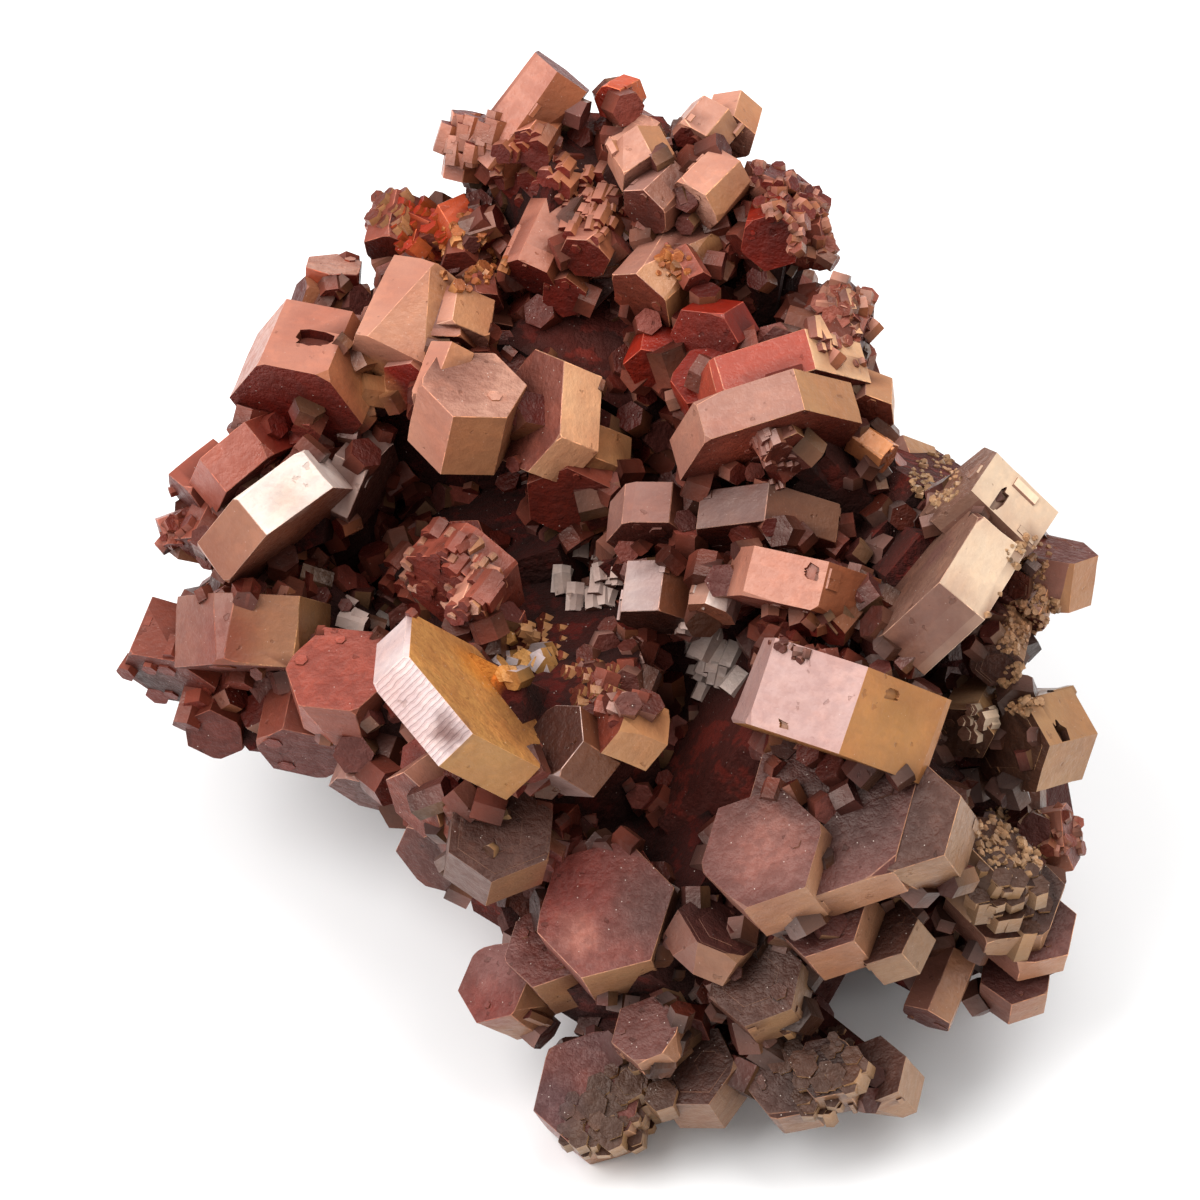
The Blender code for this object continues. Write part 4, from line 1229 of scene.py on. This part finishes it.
# %% The stone, and what it reads from the mesh
stone = bpy.data.materials.new("vanadinite")
stone.use_nodes = True
tree = stone.node_tree
surface = tree.nodes["Principled BSDF"].inputs
place = add_node(tree, "TexCoord").outputs["Object"]
flat = add_node(tree, "UVMap", {"uv_map": "along"}).outputs["UV"]
tint = add_node(tree, "Attribute", {"attribute_name": "tint"}).outputs["Color"]
kind = add_node(tree, "Attribute", {"attribute_name": "kind"}).outputs
kinds = add_node(tree, "SeparateColor", Color=kind["Color"]).outputs
is_end, is_rim, is_deep, is_ribbed = kinds["Red"], kinds["Green"], kinds["Blue"], kind["Alpha"]


def use_group(group, **values):
    return add_node(tree, "Group", {"node_tree": group}, **values).outputs


def scaled(value, factor, plus=0.0):
    """value * factor + plus"""
    return math_node(tree, "MULTIPLY_ADD", value, factor, plus)


def times(first, second):
    return math_node(tree, "MULTIPLY", first, second)


def toned(colour, share, tone):
    """Moves a share of the colour toward itself times a tone."""
    return mix_colour(tree, share, colour, mix_colour(tree, 1.0, colour, tone, "MULTIPLY"))


cloud = use_group(clouds, Place=place, Scale=230.0)
etched = use_group(pits, Place=place, Scale=1700.0, Share=0.15)
fine_grain = use_group(grain, Place=place, Scale=5200.0)
coarse_grain = use_group(grain, Place=place, Scale=1700.0)
streak = use_group(streaks, Flat=flat, Scale=1.2)
grainy = ramp(tree, coarse_grain["Height"], 0.42, 0.62)

# %% Colour: the tint, then the stains, then what lies over both
wavy = add_node(tree, "TexNoise", Vector=place, Scale=900, Detail=1)
bent = stirred(tree, wavy, STAIN_WAVE, place)
colour = tint
for spot, stained in stains_found:
    middle = spot + Vector((STAIN_WAVE, STAIN_WAVE, STAIN_WAVE)) * 0.5
    mark = use_group(stain, Place=bent, Middle=middle, Reach=stained.reach * MM, Share=stained.share)
    colour = mix_colour(tree, mark["Mask"], colour, tuple(linear(stained.colour)))

for share, tone in (
        (scaled(cloud["Soft"], 0.6), (0.7, 0.52, 0.5)),
        (times(cloud["Patchy"], scaled(is_end, 0.25, 0.25)), (1.35, 1.28, 1.2)),
        (times(streak["Streak"], scaled(is_end, -0.25, 0.25)), (1.2, 1.12, 1.02)),
        (times(is_deep, cloud["Patchy"]), (1.9, 1.5, 1.4)),
        (times(grainy, scaled(is_end, 0.35, 0.15)), (0.66, 0.56, 0.54)),
        # Chipped rims lighten with the grain: paler worn stone, and partly a painted highlight.
        (times(is_rim, ramp(tree, coarse_grain["Height"], 0.45, 0.6)), (1.9, 1.8, 1.7)),
        # Pits and ribs are darkened: painted shade in their hollows, over the bump's relief.
        (times(etched["Mask"], scaled(is_end, 0.2, 0.4)), (0.45, 0.35, 0.3)),
        (times(is_ribbed, scaled(streak["Rib"], -0.5, 0.5)), (0.72, 0.62, 0.62))):
    colour = toned(colour, share, tone)
# Pale specks, more on the ends: partly dusty grit, partly painted glints of the grainy ends.
dust_and_glint = times(fine_grain["Dust"], scaled(is_end, 0.4, 0.2))
feed(tree, surface["Base Color"], mix_colour(tree, dust_and_glint, colour, (0.78, 0.66, 0.58)))

# %% Roughness and gloss
rough = math_node(tree, "ADD", scaled(is_end, 0.14, 0.3), scaled(is_rim, 0.12))
rough = math_node(tree, "ADD", rough, scaled(grainy, 0.14))
rough = math_node(tree, "ADD", rough, scaled(is_deep, 0.5), clamp=True)
feed(tree, surface["Roughness"], rough)
surface["IOR"].default_value = 1.45
surface["Specular IOR Level"].default_value = 0.45
surface["Specular Tint"].default_value = (1.0, 0.84, 0.76, 1)

# %% Relief too fine to model
lumpy = math_node(tree, "ADD", scaled(is_end, 3.0, 1.6), scaled(is_deep, 7.0))
height = times(coarse_grain["Height"], lumpy)
for more in (etched["Height"], scaled(streak["Streak"], 0.15),
             times(is_ribbed, scaled(streak["Rib"], 1.6))):
    height = math_node(tree, "ADD", height, more)
bump = add_node(tree, "Bump", Strength=0.6, Distance=0.00006, Height=height)
feed(tree, surface["Normal"], bump.outputs["Normal"])
print("nodes in the stone:", len(tree.nodes))

# %% [markdown]
# The two surfaces are only now made objects. Points that a deep crystal pushed below the resting face
# are laid back on it, so that the cluster still stands flat.

# %% Finish the grown surfaces and let them stand for the plain solid
def finish_surface(name, surface):
    made_mesh = bpy.data.meshes.new(name)
    surface.to_mesh(made_mesh)
    surface.free()
    for corner in made_mesh.vertices:
        corner.co.z = max(corner.co.z, 0.0)
    made = bpy.data.objects.new(name, made_mesh)
    bpy.context.scene.collection.objects.link(made)
    made_mesh.materials.clear()
    made_mesh.materials.append(stone)
    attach(made, "root")
    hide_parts(NODE)
    print(name, "triangles:", sum(len(face.vertices) - 2 for face in made_mesh.polygons))


finish_surface("crystals", growth)
finish_surface("crust", crust)
